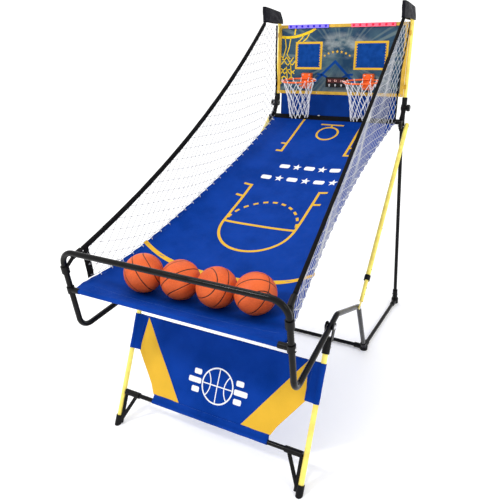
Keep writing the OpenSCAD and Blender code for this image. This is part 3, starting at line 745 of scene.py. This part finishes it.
words = Print(on_ramp)
for x0, x1, y0, y1 in ((-0.125, 0.245, 0.285, 0.33), (-0.19, 0.275, 0.178, 0.223)):
    n = 5 if x1 - x0 < 0.4 else 6
    pitch = (x1 - x0) / n
    for k in range(n):
        cx, cy = x0 + (k + 0.5) * pitch, (y0 + y1) / 2
        if k % 2:
            words.fill(star(cx, cy, 0.027))
        else:
            words.fill(rounded(box_outline(cx - 0.03, cy - 0.0155, cx + 0.03, cy + 0.0155), 0.012))
words_obj = words.build("ramp_print_white", INK_WHITE, slot="ramp_fabric")

for s, side in SIDES:
    for inset in (8 * MM, 11 * MM):
        v = np.linspace(V_REAR + 0.01, V_FRONT, 240)
        half = ramp_half(v) - 4 * MM
        p = np.stack([s * (half - inset), rear_bar.y - v * RAMP_LEN], axis=1)
        stitches(f"ramp_edge_thread_{side}_{int(inset / MM)}", on_ramp(p, 0.3 * MM),
                                    (0, 0, 1), 9 * MM, 6 * MM, slot="ramp_fabric")
across = np.linspace(-0.455, 0.455, 120)
front_path = on_ramp(np.stack([across, np.full(120, tray_bar.y + 0.05)], axis=1), 0.3 * MM)
stitches("ramp_front_thread", front_path, (0, 0, 1), 6 * MM, 4 * MM, slot="ramp_fabric")
snap = Tubes()
snap.bead((-0.1, rear_bar.y - 4 * MM, rear_bar.z + rear_bar_r + 2.6 * MM), 7 * MM, 16, 8, (1, 1, 0.45))
snap_obj = snap.build("rear_bar_snap", INK_WHITE, slot="ramp_fabric")

# ---- cloth panel below the backboard ----

low_y, low_z = rear_bar.y + 0.0150, rear_bar.z - 0.002
high = on_board([[0, -3.5 * MM, 1 * MM]])[0]
across = np.linspace(-0.372, 0.372, 61)
climb = np.linspace(0, 1, 14)
panel = np.array([[(x, low_y + (high[1] - low_y) * t, low_z + (high[2] - low_z) * t) for x in across]
                  for t in climb])
panel = crumple(panel, 2.2 * MM, 11, 3)
back_panel = cloth("back_panel", panel, BACK_BLUE, slot="banner_fabric")
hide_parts("back_cloth")

# ---- front leg banner ----

PIVOT = np.array([0, -0.497, 0.64557])
TILT = math.radians(27.5)
DOWN = np.array([0, -math.sin(TILT), -math.cos(TILT)])
OUT = np.array([0, -math.cos(TILT), math.sin(TILT)])
LEG_X = 0.5004
BAR_W = (PIVOT[2] - 0.150) / math.cos(TILT)
SLEEVE_TOP, SLEEVE_LOW = 0.160, 0.335


def on_banner(points, lift=0.0):
    p = np.asarray(points, float)
    x, w = p[:, 0], p[:, 1]
    wave = 1.6 * MM * np.sin(9 * x + 17 * w) + 0.9 * MM * np.sin(23 * x - 31 * w + 1)
    fade = np.clip((LEG_X - np.abs(x) - 0.05) / 0.06, 0, 1) * np.clip((BAR_W - 0.03 - w) / 0.06, 0, 1)
    return PIVOT + x[:, None] * RIGHT + w[:, None] * DOWN + (wave * fade + lift)[:, None] * OUT


seam_x = LEG_X - 0.048
outline = [(-seam_x, SLEEVE_TOP), (seam_x, SLEEVE_TOP), (seam_x, SLEEVE_LOW), (0.345, 0.482), (0.318, 0.528),
           (0.316, BAR_W - 0.026), (-0.316, BAR_W - 0.026), (-0.318, 0.528), (-0.345, 0.482), (-seam_x, SLEEVE_LOW)]
verts, faces = patch(outline, 14 * MM)
banner_mesh = mesh_from("banner_fabric", on_banner(verts), faces)
banner = thicken(link("banner_fabric", banner_mesh, BANNER_BLUE, "leg_frame"))
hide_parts("banner")
trim = []
for s, side in SIDES:
    gold = Print(lambda p: on_banner(p, 0.9 * MM))
    gold.fill([(s * 0.432, 0.166), (s * 0.17, 0.526), (s * 0.322, 0.526), (s * 0.345, 0.482), (s * seam_x, 0.335)])
    trim.append(gold.build(f"banner_gold_{side}", INK_YELLOW, "leg_frame", "banner_fabric"))
    path = PIVOT + s * LEG_X * RIGHT + np.linspace(SLEEVE_TOP, SLEEVE_LOW, 30)[:, None] * DOWN
    grid = crumple(sleeve(path, LEG_R + 1.6 * MM, 0.054, (-s, 0, 0)), 1.2 * MM, 18, s)
    tube = cloth(f"banner_sleeve_{side}", grid, BANNER_BLUE, "leg_frame", "banner_fabric", close_cols=True)
    down = np.linspace(SLEEVE_TOP + 0.004, SLEEVE_LOW - 0.004, 40)
    seam = on_banner(np.stack([np.full(40, s * (seam_x + 4 * MM)), down], axis=1), 1.4 * MM)
    stitches(f"sleeve_thread_{side}", seam, OUT, body="leg_frame", slot="banner_fabric")
path = PIVOT + BAR_W * DOWN + np.linspace(-0.316, 0.316, 60)[:, None] * RIGHT
grid = crumple(sleeve(path, CROSSBAR_R + 1.6 * MM, 0.034, -DOWN), 0.8 * MM, 18, 5)
bottom = cloth("banner_bottom_sleeve", grid, BANNER_BLUE, "leg_frame", "banner_fabric", close_cols=True)
seam = on_banner(np.stack([np.linspace(-0.31, 0.31, 120), np.full(120, BAR_W - 0.03)], axis=1), 1.4 * MM)
stitches("bottom_thread", seam, OUT, body="leg_frame", slot="banner_fabric")

badge = Print(lambda p: on_banner(p, 1.0 * MM))
BX, BW, BR = 0.02, 0.393, 0.082
ball_ring = arc((BX, BW), BR, 0, 360, 64)[:-1]
badge.stroke(ball_ring, 7 * MM, True)
badge.stroke([(BX - BR + 0.004, BW), (BX + BR - 0.004, BW)], 5 * MM)
badge.stroke([(BX, BW - BR + 0.004), (BX, BW + BR - 0.004)], 5 * MM)
for s, _ in SIDES:
    badge.stroke(arc((BX + s * 0.122, BW), 0.085, 180 * (s > 0) - 43, 180 * (s > 0) + 43, 24), 5 * MM)
    for k, reach in ((-1, 0.135), (0, 0.16), (1, 0.135)):
        x0, x1 = BX + s * (BR + 0.008 + 0.004 * abs(k)), BX + s * reach
        w = BW + k * 0.042
        badge.fill(rounded(box_outline(min(x0, x1), w - 0.013, max(x0, x1), w + 0.013), 0.008))
trim.append(badge.build("banner_badge", INK_WHITE, "leg_frame", "banner_fabric"))

# ---- balls ----


def ball_mesh(radius, cells=64):
    """Sphere from a cube, with the eight-panel seams pressed in."""
    t = np.tan(np.linspace(-np.pi / 4, np.pi / 4, cells + 1))
    a, b = np.meshgrid(t, t, indexing="ij")
    one = np.ones_like(a)
    verts, faces = [], []
    cube = ((one, a, b), (-one, b, a), (b, one, a), (a, -one, b), (a, b, one), (b, a, -one))
    for k, face in enumerate(cube):
        p = np.stack(face, axis=-1).reshape(-1, 3)
        verts.append(p / np.linalg.norm(p, axis=1)[:, None])
        faces.append(grid_faces(cells + 1, cells + 1, start=k * (cells + 1) ** 2))
    n = np.concatenate(verts)
    groove = 1.3 * MM * np.exp(-((seam_gap(n) * radius / (2.3 * MM)) ** 2))
    mesh = mesh_from("game_ball", n * (radius - groove)[:, None], np.concatenate(faces))
    bm = bmesh.new()
    bm.from_mesh(mesh)
    bmesh.ops.remove_doubles(bm, verts=bm.verts, dist=0.02 * MM)
    bm.to_mesh(mesh)
    bm.free()
    return mesh


def seam_gap(n):
    """Angle in radians from a point of the unit sphere to the nearest seam."""
    x, y, z = np.abs(n[:, 0]), n[:, 1], n[:, 2]
    side = np.abs(x - 0.50 - 0.3 * z**2) / np.sqrt(1 + (0.6 * z) ** 2) / np.sqrt(np.maximum(1 - x * x, 0.3))
    return np.minimum(np.minimum(x, np.abs(z)), side)


ball_lo, ball_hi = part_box("ball_1")
ball_shape = ball_mesh((ball_hi.x - ball_lo.x) / 2)
ball_shape.materials.append(BALL)
ball_shape.polygons.foreach_set("use_smooth", [True] * len(ball_shape.polygons))
turns = ((62, -28, 35), (25, 40, -30), (-20, 34, 50), (48, 22, -62))
for k, turn in enumerate(turns, 1):
    node = f"ball_{k}"
    ball = bpy.data.objects.new(f"game_ball_{k}", ball_shape)
    bpy.context.scene.collection.objects.link(ball)
    ball.location = middle(node)
    ball.rotation_euler = [math.radians(a) for a in turn]
    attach(ball, node)
    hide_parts(node)


# ---- side nets: knotted cords between the sprung poles and the ramp's edges ----

POLE_LOW, POLE_TOP = np.array([0.508, -0.905, 0.962]), np.array([0.411, 0.744, 1.812])
POLE_BOW = np.array([0.022, 0, 0.076])
POLE_R = 7 * MM
NET_RUN, CELL_WIDE, CELL_HIGH = 1.9, 0.080, 0.048


def pole_at(t):
    """Points on the pole's arc, from its top end at 0 to its low end at 1."""
    chord = POLE_LOW - POLE_TOP
    reach = np.linalg.norm(chord) / 2
    along = chord / (2 * reach)
    bow = (POLE_BOW @ along) * along - POLE_BOW
    sag = np.linalg.norm(bow)
    r = (reach**2 + sag**2) / (2 * sag)
    a = ((2 * np.asarray(t, float) - 1) * math.asin(reach / r))[..., None]
    return (POLE_TOP + POLE_LOW) / 2 + bow * (1 - (1 - np.cos(a)) * r / sag) + along * r * np.sin(a)


def hem_at(q):
    q = np.asarray(q, float)
    arm = line((upright_x - 0.002, 0.905, 1.786), POLE_TOP - (0.002, 0, 0.014), np.minimum(q, 0.12) / 0.12)
    pole = pole_at(np.maximum(q - 0.12, 0) / 0.88 * 0.975) - (0.002, 0, 0.014)
    return np.where((q < 0.12)[..., None], arm, pole)


def edge_at(q):
    v = 0.022 + (0.957 - 0.022) * np.asarray(q, float)
    return np.stack([ramp_half(v) - 1 * MM, rear_bar.y - RAMP_LEN * v, ramp_height(1.0, v) + 6 * MM], axis=-1)


def net_at(s, q, h, billow=0.0):
    q, h = np.broadcast_arrays(np.asarray(q, float), np.asarray(h, float))
    p = edge_at(q) * (1 - h)[..., None] + hem_at(q) * h[..., None]
    fade = np.clip(4 * h * (1 - h), 0, 1)
    x, y, z = p[..., 0], p[..., 1], p[..., 2]
    push = 5 * MM * np.sin(11 * y + 6 * z) + 2 * MM * np.sin(31 * y - 23 * z + s)
    slide = 1.2 * MM * np.sin(23 * y + 19 * z + s)
    drop = 1.5 * MM * np.sin(17 * y - 21 * z + 2 * s)
    p = p + fade[..., None] * np.stack([push - 6 * MM + billow, slide, drop], axis=-1)
    return p * np.array([s, 1, 1])


def runs(mask):
    edge = np.flatnonzero(np.diff(np.concatenate([[0], mask.astype(int), [0]])))
    return [(a, b) for a, b in zip(edge[::2], edge[1::2]) if b - a > 2]


def side_net(s, side):
    net = Tubes()
    slope = CELL_HIGH / CELL_WIDE
    along = np.arange(0, NET_RUN, 7 * MM)
    q = along / NET_RUN
    depth = np.linalg.norm(hem_at(q) - edge_at(q), axis=1)
    reach = int(depth.max() / slope / CELL_WIDE) + 2
    for way in (-1, 1):
        for k in range(-reach, int(NET_RUN / CELL_WIDE) + reach):
            t = way * slope * (along - k * CELL_WIDE)
            for a, b in runs((t >= 0) & (t <= depth) & (q > 0.004) & (q < 0.992)):
                net.cord(net_at(s, q[a:b], 1 - t[a:b] / depth[a:b], way * 0.5 * MM), 1.25 * MM, 5, (1, 0.2, 0.3))
    half_w, half_h = CELL_WIDE / 2, CELL_HIGH / 2
    for i in range(1, int(NET_RUN / half_w)):
        room = np.interp(i * half_w, along, depth)
        for j in range(1, int(room / half_h) + 1):
            on_cloth = 8 * MM < j * half_h < room - 4 * MM and i * half_w < 0.98 * NET_RUN
            if (i + j) % 2 == 0 and on_cloth:
                at = net_at(s, i * half_w / NET_RUN, 1 - j * half_h / room)
                net.bead(at, 2.2 * MM, 6, 4)
    ends = np.linspace(0.0, 1, 220)
    net.cord(net_at(s, ends, np.zeros(220)), 1.3 * MM, 6)
    lacing = Tubes()
    for k in np.arange(0.05, 0.955, 0.062 / RAMP_LEN):
        half = ramp_half(k) - 4 * MM
        y = rear_bar.y - k * RAMP_LEN
        z = float(ramp_height(1.0, k))
        loop = ((-12, -3), (-12, 2.2), (-4, 4), (0, 7), (2.6, 4), (-3, -3))
        path = [(s * (half + x * MM), y + 3 * MM * (n % 2), z + h * MM) for n, (x, h) in enumerate(loop)]
        path = resample(path, 3 * MM)
        lacing.cord(path, 1.5 * MM, 5, (0, 1, 0))
    # The side-net cords take the grey copy of the white cord, whose darker colour is painted shade.
    obj = net.build(f"side_net_cords_{side}", SIDE_NET_CORD_PAINTED_SHADE, slot="net_cord")
    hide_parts(f"side_net_{side}")
    lacing.build(f"side_net_lacing_{side}", CORD, slot="net_cord")
    return obj


def strip(name, grid, scale=26, seed=0.0, size=1.0):
    return cloth(name, crumple(grid, size * MM, scale, seed), BLACK_CLOTH, thickness=1.4 * MM)


for s, side in SIDES:
    cords = side_net(s, side)
    flip = np.array([s, 1, 1])
    t = np.linspace(0.002, 0.972, 150)
    grid = crumple(sleeve(pole_at(t) * flip, POLE_R + 1.3 * MM, 0.0155, (-0.14 * s, 0, -1)), 0.7 * MM, 14, s)
    hem = cloth(f"pole_sleeve_{side}", grid, BLACK_CLOTH, thickness=0.9 * MM, close_cols=True)
    rear = net_at(s, np.linspace(0.0, 0.017, 5)[None, :], np.linspace(0, 1, 40)[:, None])
    rear_strip = strip(f"net_rear_strap_{side}", rear, 26, 1)
    front = net_at(s, np.linspace(0.982, 1.0, 5)[None, :], np.linspace(0, 1, 16)[:, None])
    front_strip = strip(f"net_front_strap_{side}", front, 26, 2)
    width = float(np.linalg.norm(front[0, 0] - front[0, -1]))

# ---- cloth hoods over the forward arms ----

HOOD_FRONT, HOOD_REAR = (0.731, 1.813), (0.957, 1.791)
hood_line = rounded([HOOD_FRONT, (0.728, 1.897), (0.926, 1.86), (0.957, 1.812), HOOD_REAR], 0.006)
hood_line = resample([HOOD_FRONT, *hood_line[5:-5], HOOD_REAR], 6 * MM)


def hood_half(y):
    return np.interp(y, (0.728, 0.78), (6.5 * MM, 12.9 * MM))


def hood_low(y):
    """Height of the hood's lower edge."""
    z = (HOOD_FRONT[1], 1.808, 1.8, HOOD_REAR[1])
    return float(np.interp(y, (HOOD_FRONT[0], 0.8, 0.86, HOOD_REAR[0]), z))


def hood_fold(y, z):
    """Creases that fan out from the pinched rear lower corner."""
    turn, reach = math.atan2(z - 1.78, 0.97 - y), math.hypot(z - 1.78, 0.97 - y)
    return (1 + math.sin(19 * turn + 0.6 * math.sin(30 * reach))) * 1.7 * MM * min(1, max(0, reach - 0.02) / 0.08)


for s, side in SIDES:
    rows = []
    for y, z in hood_line:
        low_y = min(max(y, HOOD_FRONT[0]), HOOD_REAR[0])
        low_z = hood_low(low_y)
        half = hood_half(y)
        left = []
        for h in np.linspace(0, 1, 15)[:-1]:
            at = (low_y + (y - low_y) * h, low_z + (z - low_z) * h)
            out = half + hood_fold(*at) * math.sin(math.pi * min(1, 0.15 + 0.85 * h))
            left.append((-out, *at))
        top = [(x, y, z + 1.2 * MM * (1 - (x / half) ** 2)) for x in np.linspace(-half, half, 6)]
        rows.append(left + top + [(-x, b, c) for x, b, c in left[::-1]])
    grid = crumple(np.array(rows) + (s * upright_x, 0, 0), 0.8 * MM, 15, 4 + s)
    hood = cloth(f"hood_{side}", grid, POCKET_CLOTH)
    piping = Tubes()
    for way in (-1, 1):
        piping.cord([(s * upright_x + way * hood_half(y), y, z) for y, z in hood_line], 1.1 * MM, 6, (1, 0, 0))
    trim = piping.build(f"hood_piping_{side}", BLACK_CLOTH, slot="black_fabric")
    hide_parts("pockets")

# ---- backboard artwork, lamps and scorer ----

FACE = -BOARD_HALF - 0.35 * MM


def face_print(depth):
    return lambda p: on_board(np.column_stack([p[:, 0], np.full(len(p), depth), p[:, 1]]))


art = Print(face_print(FACE))
art.fill(box_outline(-BOARD_W / 2 + 0.0175, 0.0175, BOARD_W / 2 - 0.0175, BOARD_H - 0.0175))
art.build("board_artwork", BOARD_PRINT, slot="board_panel")
roof = Print(face_print(FACE - 0.15 * MM))
roof.stroke([(-0.155, 0.068), (-0.022, 0.192), (0.108, 0.068)], 15 * MM)
roof.stroke(arc((-0.125, 0.03), 0.088, 8, 96, 20), 12 * MM)
roof.stroke(arc((0.085, 0.03), 0.088, 84, 172, 20), 12 * MM)
targets = ((-0.2845, -0.1085), (0.0935, 0.2945))
for x0, x1 in targets:
    roof.fill(box_outline(x0 + 0.006, 0.152, x1 - 0.006, 0.299))
roof.build("board_blue", INK_BLUE, slot="board_panel")
gold = Print(face_print(FACE - 0.3 * MM))
for x0, x1 in targets:
    gold.stroke(box_outline(x0 + 0.006, 0.152, x1 - 0.006, 0.299), 12 * MM, True)
    for k in range(9):
        w = 0.166 + k * 0.0148
        gold.fill(box_outline(x0 + 0.008, w, x0 + 0.017, w + 0.007))
        gold.fill(box_outline(x1 - 0.017, w, x1 - 0.008, w + 0.007))
hung = Print(face_print(FACE - 0.3 * MM))
hung.stroke([(-0.381, 0.334), (-0.335, 0.331), (-0.285, 0.335), (-0.235, 0.347), (-0.185, 0.364),
             (-0.158, 0.381)], 15 * MM)
hung.stroke([(-0.29, 0.384), (-0.295, 0.345)], 9 * MM)
CORDS = (((-0.375, 0.33), (-0.366, 0.27), (-0.39, 0.2)),
         ((-0.335, 0.33), (-0.345, 0.27), (-0.36, 0.23), (-0.335, 0.205)),
         ((-0.245, 0.342), (-0.262, 0.318), (-0.285, 0.305)),
         ((-0.205, 0.355), (-0.222, 0.325), (-0.248, 0.306)),
         ((-0.398, 0.222), (-0.352, 0.165), (-0.31, 0.215)),
         ((-0.398, 0.172), (-0.36, 0.218), (-0.322, 0.165), (-0.292, 0.2)),
         ((-0.396, 0.15), (-0.372, 0.115), (-0.34, 0.15), (-0.302, 0.118)),
         ((-0.398, 0.12), (-0.365, 0.155), (-0.33, 0.112), (-0.3, 0.14)),
         ((-0.396, 0.092), (-0.372, 0.108), (-0.35, 0.076), (-0.322, 0.104), (-0.306, 0.08)),
         ((-0.384, 0.098), (-0.398, 0.055)),
         ((-0.36, 0.16), (-0.35, 0.08)),
         ((-0.33, 0.168), (-0.322, 0.1)))
for run in CORDS:
    hung.stroke(resample([(0.956 * x, up) for x, up in run], 20 * MM), 6 * MM)
hung.build("board_net_art", NET_YELLOW, slot="board_panel")
for k in range(7):
    a = math.radians(122 - k * 10.6)
    gold.fill(star(-0.012 + 0.15 * math.cos(a), 0.098 + 0.15 * math.sin(a), 0.0105 - 0.0006 * abs(k - 3)))
gold.build("board_gold", INK_YELLOW, slot="board_panel")
screws = Tubes()
for x in (-0.39, -0.13, 0.13, 0.39):
    for up in (0.0088, BOARD_H - 0.0088):
        if abs(x) > 0.3 or up < 0.1:
            screws.bead(on_board([[x, -FRAME_HALF - 0.3 * MM, up]])[0], 3.4 * MM, 12, 6, (1, 0.5, 1))
screws.build("board_screws", ZINC, slot="fasteners")

FACE_BAR = -FRAME_HALF - 0.3 * MM
LAMP_UP = BOARD_H - 10 * MM
LAMPS = ((-0.203, "left", LAMP_LILAC, DOME_BLUE), (0.197, "right", LAMP_PINK, DOME_RED))
for x, side, body_look, dome_look in LAMPS:
    block = BOARD @ block_at((x, FACE_BAR - 4 * MM, LAMP_UP), (0.262, 8 * MM, 22 * MM))
    mesh = blocks_mesh(f"lamp_strip_{side}", [block])
    body = soften(link(f"lamp_strip_{side}", mesh, body_look, smooth=False), 2.5 * MM, 4)
    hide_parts("light_strips")
    domes = Tubes()
    for k in range(-3, 4):
        at = on_board([[x + k * 0.038, FACE_BAR - 7.4 * MM, LAMP_UP]])[0]
        domes.bead(at, 7.4 * MM, 20, 12, (1, 0.75, 1))
    domes.build(f"lamp_domes_{side}", dome_look, slot="lamp_strip")

ZERO = (((-1, 2), (1, 2)), ((1, 2), (1, 0)), ((1, 0), (1, -2)), ((-1, -2), (1, -2)),
        ((-1, 0), (-1, -2)), ((-1, 2), (-1, 0)))
digits = Print(face_print(-BOARD_HALF - 0.3 * MM - 34.15 * MM))
for x in (-0.044, -0.034, -0.006, 0.004, 0.034, 0.044):
    for a, b in ZERO:
        p = np.array([a, b]) * (1.7 * MM, 2.2 * MM) + (x, 0.044 + 0.0376)
        digits.stroke(p, 0.9 * MM)
digits.build("score_digits", DIGITS, slot="scorer_window")
marks = Print(face_print(-BOARD_HALF - 0.3 * MM - 34.1 * MM))
for x in (-0.038, 0, 0.038):
    marks.fill(rounded(box_outline(x - 0.004, 0.0477, x + 0.004, 0.0489), 0.0004))
marks.build("scorer_marks", INK_WHITE, slot="scorer_plastic")

# ---- rims: hung nets, bracket ribs and screws ----

RIM_Y, RIM_Z, RING_R, ROD_R = 0.741, 1.482, 0.0985, 4.5 * MM
LEVELS = (-0.008, -0.048, -0.089, -0.131, -0.173, -0.212)


def net_radius(z):
    t = (z + 0.215) / 0.209
    return 0.0545 + 0.0345 * (0.25 * t + 0.75 * t * t)


def rim_net(s, side):
    net = Tubes()
    centre = np.array([s * 0.195, RIM_Y, RIM_Z])

    def knot(level, turn):
        a = math.radians(turn)
        z = LEVELS[level] + (0 if level == 0 else 3 * MM * math.sin(3 * a + level + s))
        r = net_radius(z) + (0 if level == 0 else 2 * MM * math.sin(2 * a + 1.7 * level))
        a += 0 if level == 0 else 0.05 * math.sin(2.3 * level + 5 * a + s)
        return centre + (r * math.cos(a), r * math.sin(a), z)

    def string(p, q, slack=2.5 * MM):
        t = np.linspace(0, 1, 9)
        path = line(p, q, t)
        away = (path - centre) * (1, 1, 0)
        away /= np.linalg.norm(away, axis=1)[:, None]
        path = path + away * (np.sin(np.pi * t) * slack)[:, None]
        net.cord(path, 1.75 * MM, 6, (0.3, 0.2, 1))

    for k in range(12):
        turn = 15 + 30 * k
        a = math.radians(turn)
        away = np.array([math.cos(a), math.sin(a), 0])
        ring = centre + away * RING_R
        b = np.radians(np.linspace(-120, 225, 20))[:, None]
        loop = ring + (away * np.cos(b) + np.array([0, 0, 1]) * np.sin(b)) * (ROD_R + 1.6 * MM)
        net.cord([knot(0, turn), *loop, knot(0, turn)], 1.6 * MM, 6, (-away[1], away[0], 0))
        net.bead(knot(0, turn), 3.2 * MM, 8, 5)
    for level in range(5):
        for k in range(12):
            turn = 30 * k + (15 if level % 2 == 0 else 0)
            for way in (-15, 15):
                split = level == 0 and (turn + way) % 360 == 90
                if split:
                    string(knot(0, turn), knot(2, turn), 1 * MM)
                elif not (level == 1 and turn == 90):
                    string(knot(level, turn), knot(level + 1, (turn + way) % 360))
    for level in range(1, 6):
        for k in range(12):
            turn = 30 * k + (15 if level % 2 == 0 else 0)
            if not (level == 1 and turn == 90):
                net.bead(knot(level, turn), 3.1 * MM, 7, 5, (1, 1, 1.25))
    obj = net.build(f"hoop_net_{side}", CORD, slot="net_cord")
    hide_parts(f"rim_net_{side}")


for s, side in SIDES:
    rim_net(s, side)
    lo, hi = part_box("rim_brackets")
    front = lo.y + 12 * MM
    ribs = Tubes()
    for x in (-21, 21):
        for z in (-51, 19):
            ribs.bead((s * 0.195 + x * MM, front + 0.2 * MM, RIM_Z + z * MM), 4.2 * MM, 14, 6, (1, 0.5, 1))
    ribs.build(f"bracket_screws_{side}", ZINC, slot="fasteners")
    blocks = [block_at((s * 0.195, front, RIM_Z + (z0 + z1) / 2 * MM), (0.034, 3 * MM, (z1 - z0) * MM))
              for z0, z1 in ((-3, 21), (-56, -48))]
    mesh = blocks_mesh(f"bracket_panel_{side}", blocks)
    panel = link(f"bracket_panel_{side}", mesh, ORANGE_PLASTIC, smooth=False)
    soften(panel, 1.4 * MM, 3)

# ---- snap buttons of the telescopic struts and uprights ----

KNEE, BEND = np.array([0.478, -0.048, 0.503]), np.array([0.495, -0.405, 0.654])
CORNER = np.array([0.414, 0.832, 1.262])
strut_low = KNEE + (BEND - KNEE) / np.linalg.norm(BEND - KNEE) * 0.04 + (0.0155, 0, 0)
strut_top = CORNER + (0.030, -0.006, -0.034)
for s, side in SIDES:
    holes = Tubes()
    way = (strut_top - strut_low) / np.linalg.norm(strut_top - strut_low)
    for reach, r in ((0.075, 9.4), (0.110, 9.4), (0.215, 12), (0.46, 12)):
        p = strut_low + way * reach + np.array([r * MM, 0, 0])
        holes.bead(p * (s, 1, 1), 3.6 * MM, 12, 6, (0.45, 1, 1))
    holes.build(f"strut_buttons_{side}", PLASTIC, slot="black_plastic")

# ---- camera, light and floor ----

scene = bpy.context.scene
scene.view_settings.view_transform = "Standard"
AZ, EL, ROLL = math.radians(29.89), math.radians(23.82), math.radians(-2.74)
look_at = Vector((-math.sin(AZ) * math.cos(EL), math.cos(AZ) * math.cos(EL), -math.sin(EL)))
right = look_at.cross(Vector((0, 0, 1))).normalized()
upward = right.cross(look_at)
cam_x = math.cos(ROLL) * right + math.sin(ROLL) * upward
cam_y = -math.sin(ROLL) * right + math.cos(ROLL) * upward
camera = bpy.data.objects.new("camera", bpy.data.cameras.new("camera"))
scene.collection.objects.link(camera)
pose = Matrix((cam_x, cam_y, -look_at)).transposed().to_4x4()
pose.translation = (1.21, -2.38, 1.90)
camera.matrix_world = pose
camera.data.lens = 39.417
camera.data.shift_x = -0.001
camera.data.shift_y = -0.0028
scene.camera = camera


def floor_look():
    look = Look("floor_paper", (0.97, 0.97, 0.972), 0.8)
    look.tone(look.noise(1.5, 3), 0.012)
    look.rough(look.noise(6, 3), 0.75, 0.85)
    look.bump(look.noise(60, 2), 0.03, 0.2 * MM)
    look.shader.inputs["Emission Color"].default_value = (1, 1, 1, 1)
    look.shader.inputs["Emission Strength"].default_value = 0.14
    return look.mat


bm = bmesh.new()
bmesh.ops.create_grid(bm, x_segments=24, y_segments=24, size=30)
floor_mesh = bpy.data.meshes.new("floor")
bm.to_mesh(floor_mesh)
bm.free()
floor_mesh.materials.append(floor_look())
floor = bpy.data.objects.new("floor", floor_mesh)
scene.collection.objects.link(floor)
floor.location = (0, 0, -0.5 * MM)

world = bpy.data.worlds.new("studio")
scene.world = world
world.use_nodes = True
background = world.node_tree.nodes["Background"]
background.inputs["Color"].default_value = (1, 1, 1, 1)
sky_way = world.node_tree.nodes.new("ShaderNodeTexCoord")
sky_parts = world.node_tree.nodes.new("ShaderNodeSeparateXYZ")
sky_fade = world.node_tree.nodes.new("ShaderNodeMapRange")
for key, number in (("From Min", 0.0), ("From Max", 0.7), ("To Min", 1.2), ("To Max", 0.92)):
    sky_fade.inputs[key].default_value = number
world.node_tree.links.new(sky_way.outputs["Generated"], sky_parts.inputs[0])
world.node_tree.links.new(sky_parts.outputs[2], sky_fade.inputs["Value"])
world.node_tree.links.new(sky_fade.outputs["Result"], background.inputs["Strength"])


def area_light(name, at, target, size, power):
    data = bpy.data.lights.new(name, "AREA")
    data.shape, data.size, data.energy = "DISK", size, power
    lamp = bpy.data.objects.new(name, data)
    scene.collection.objects.link(lamp)
    lamp.location = at
    lamp.rotation_euler = (Vector(target) - Vector(at)).to_track_quat("-Z", "Y").to_euler()
    return lamp


area_light("key", (-1.6, -3.2, 4.2), (0, 0, 0.8), 0.6, 70)
area_light("side", (3.6, -1.2, 2.8), (0, 0, 0.9), 1.2, 25)
sun = bpy.data.objects.new("sky_softbox", bpy.data.lights.new("sky_softbox", "SUN"))
sun.data.energy = 0.6
sun.data.angle = math.radians(40)
sun.rotation_euler = (math.radians(-22), math.radians(-18), 0)
scene.collection.objects.link(sun)
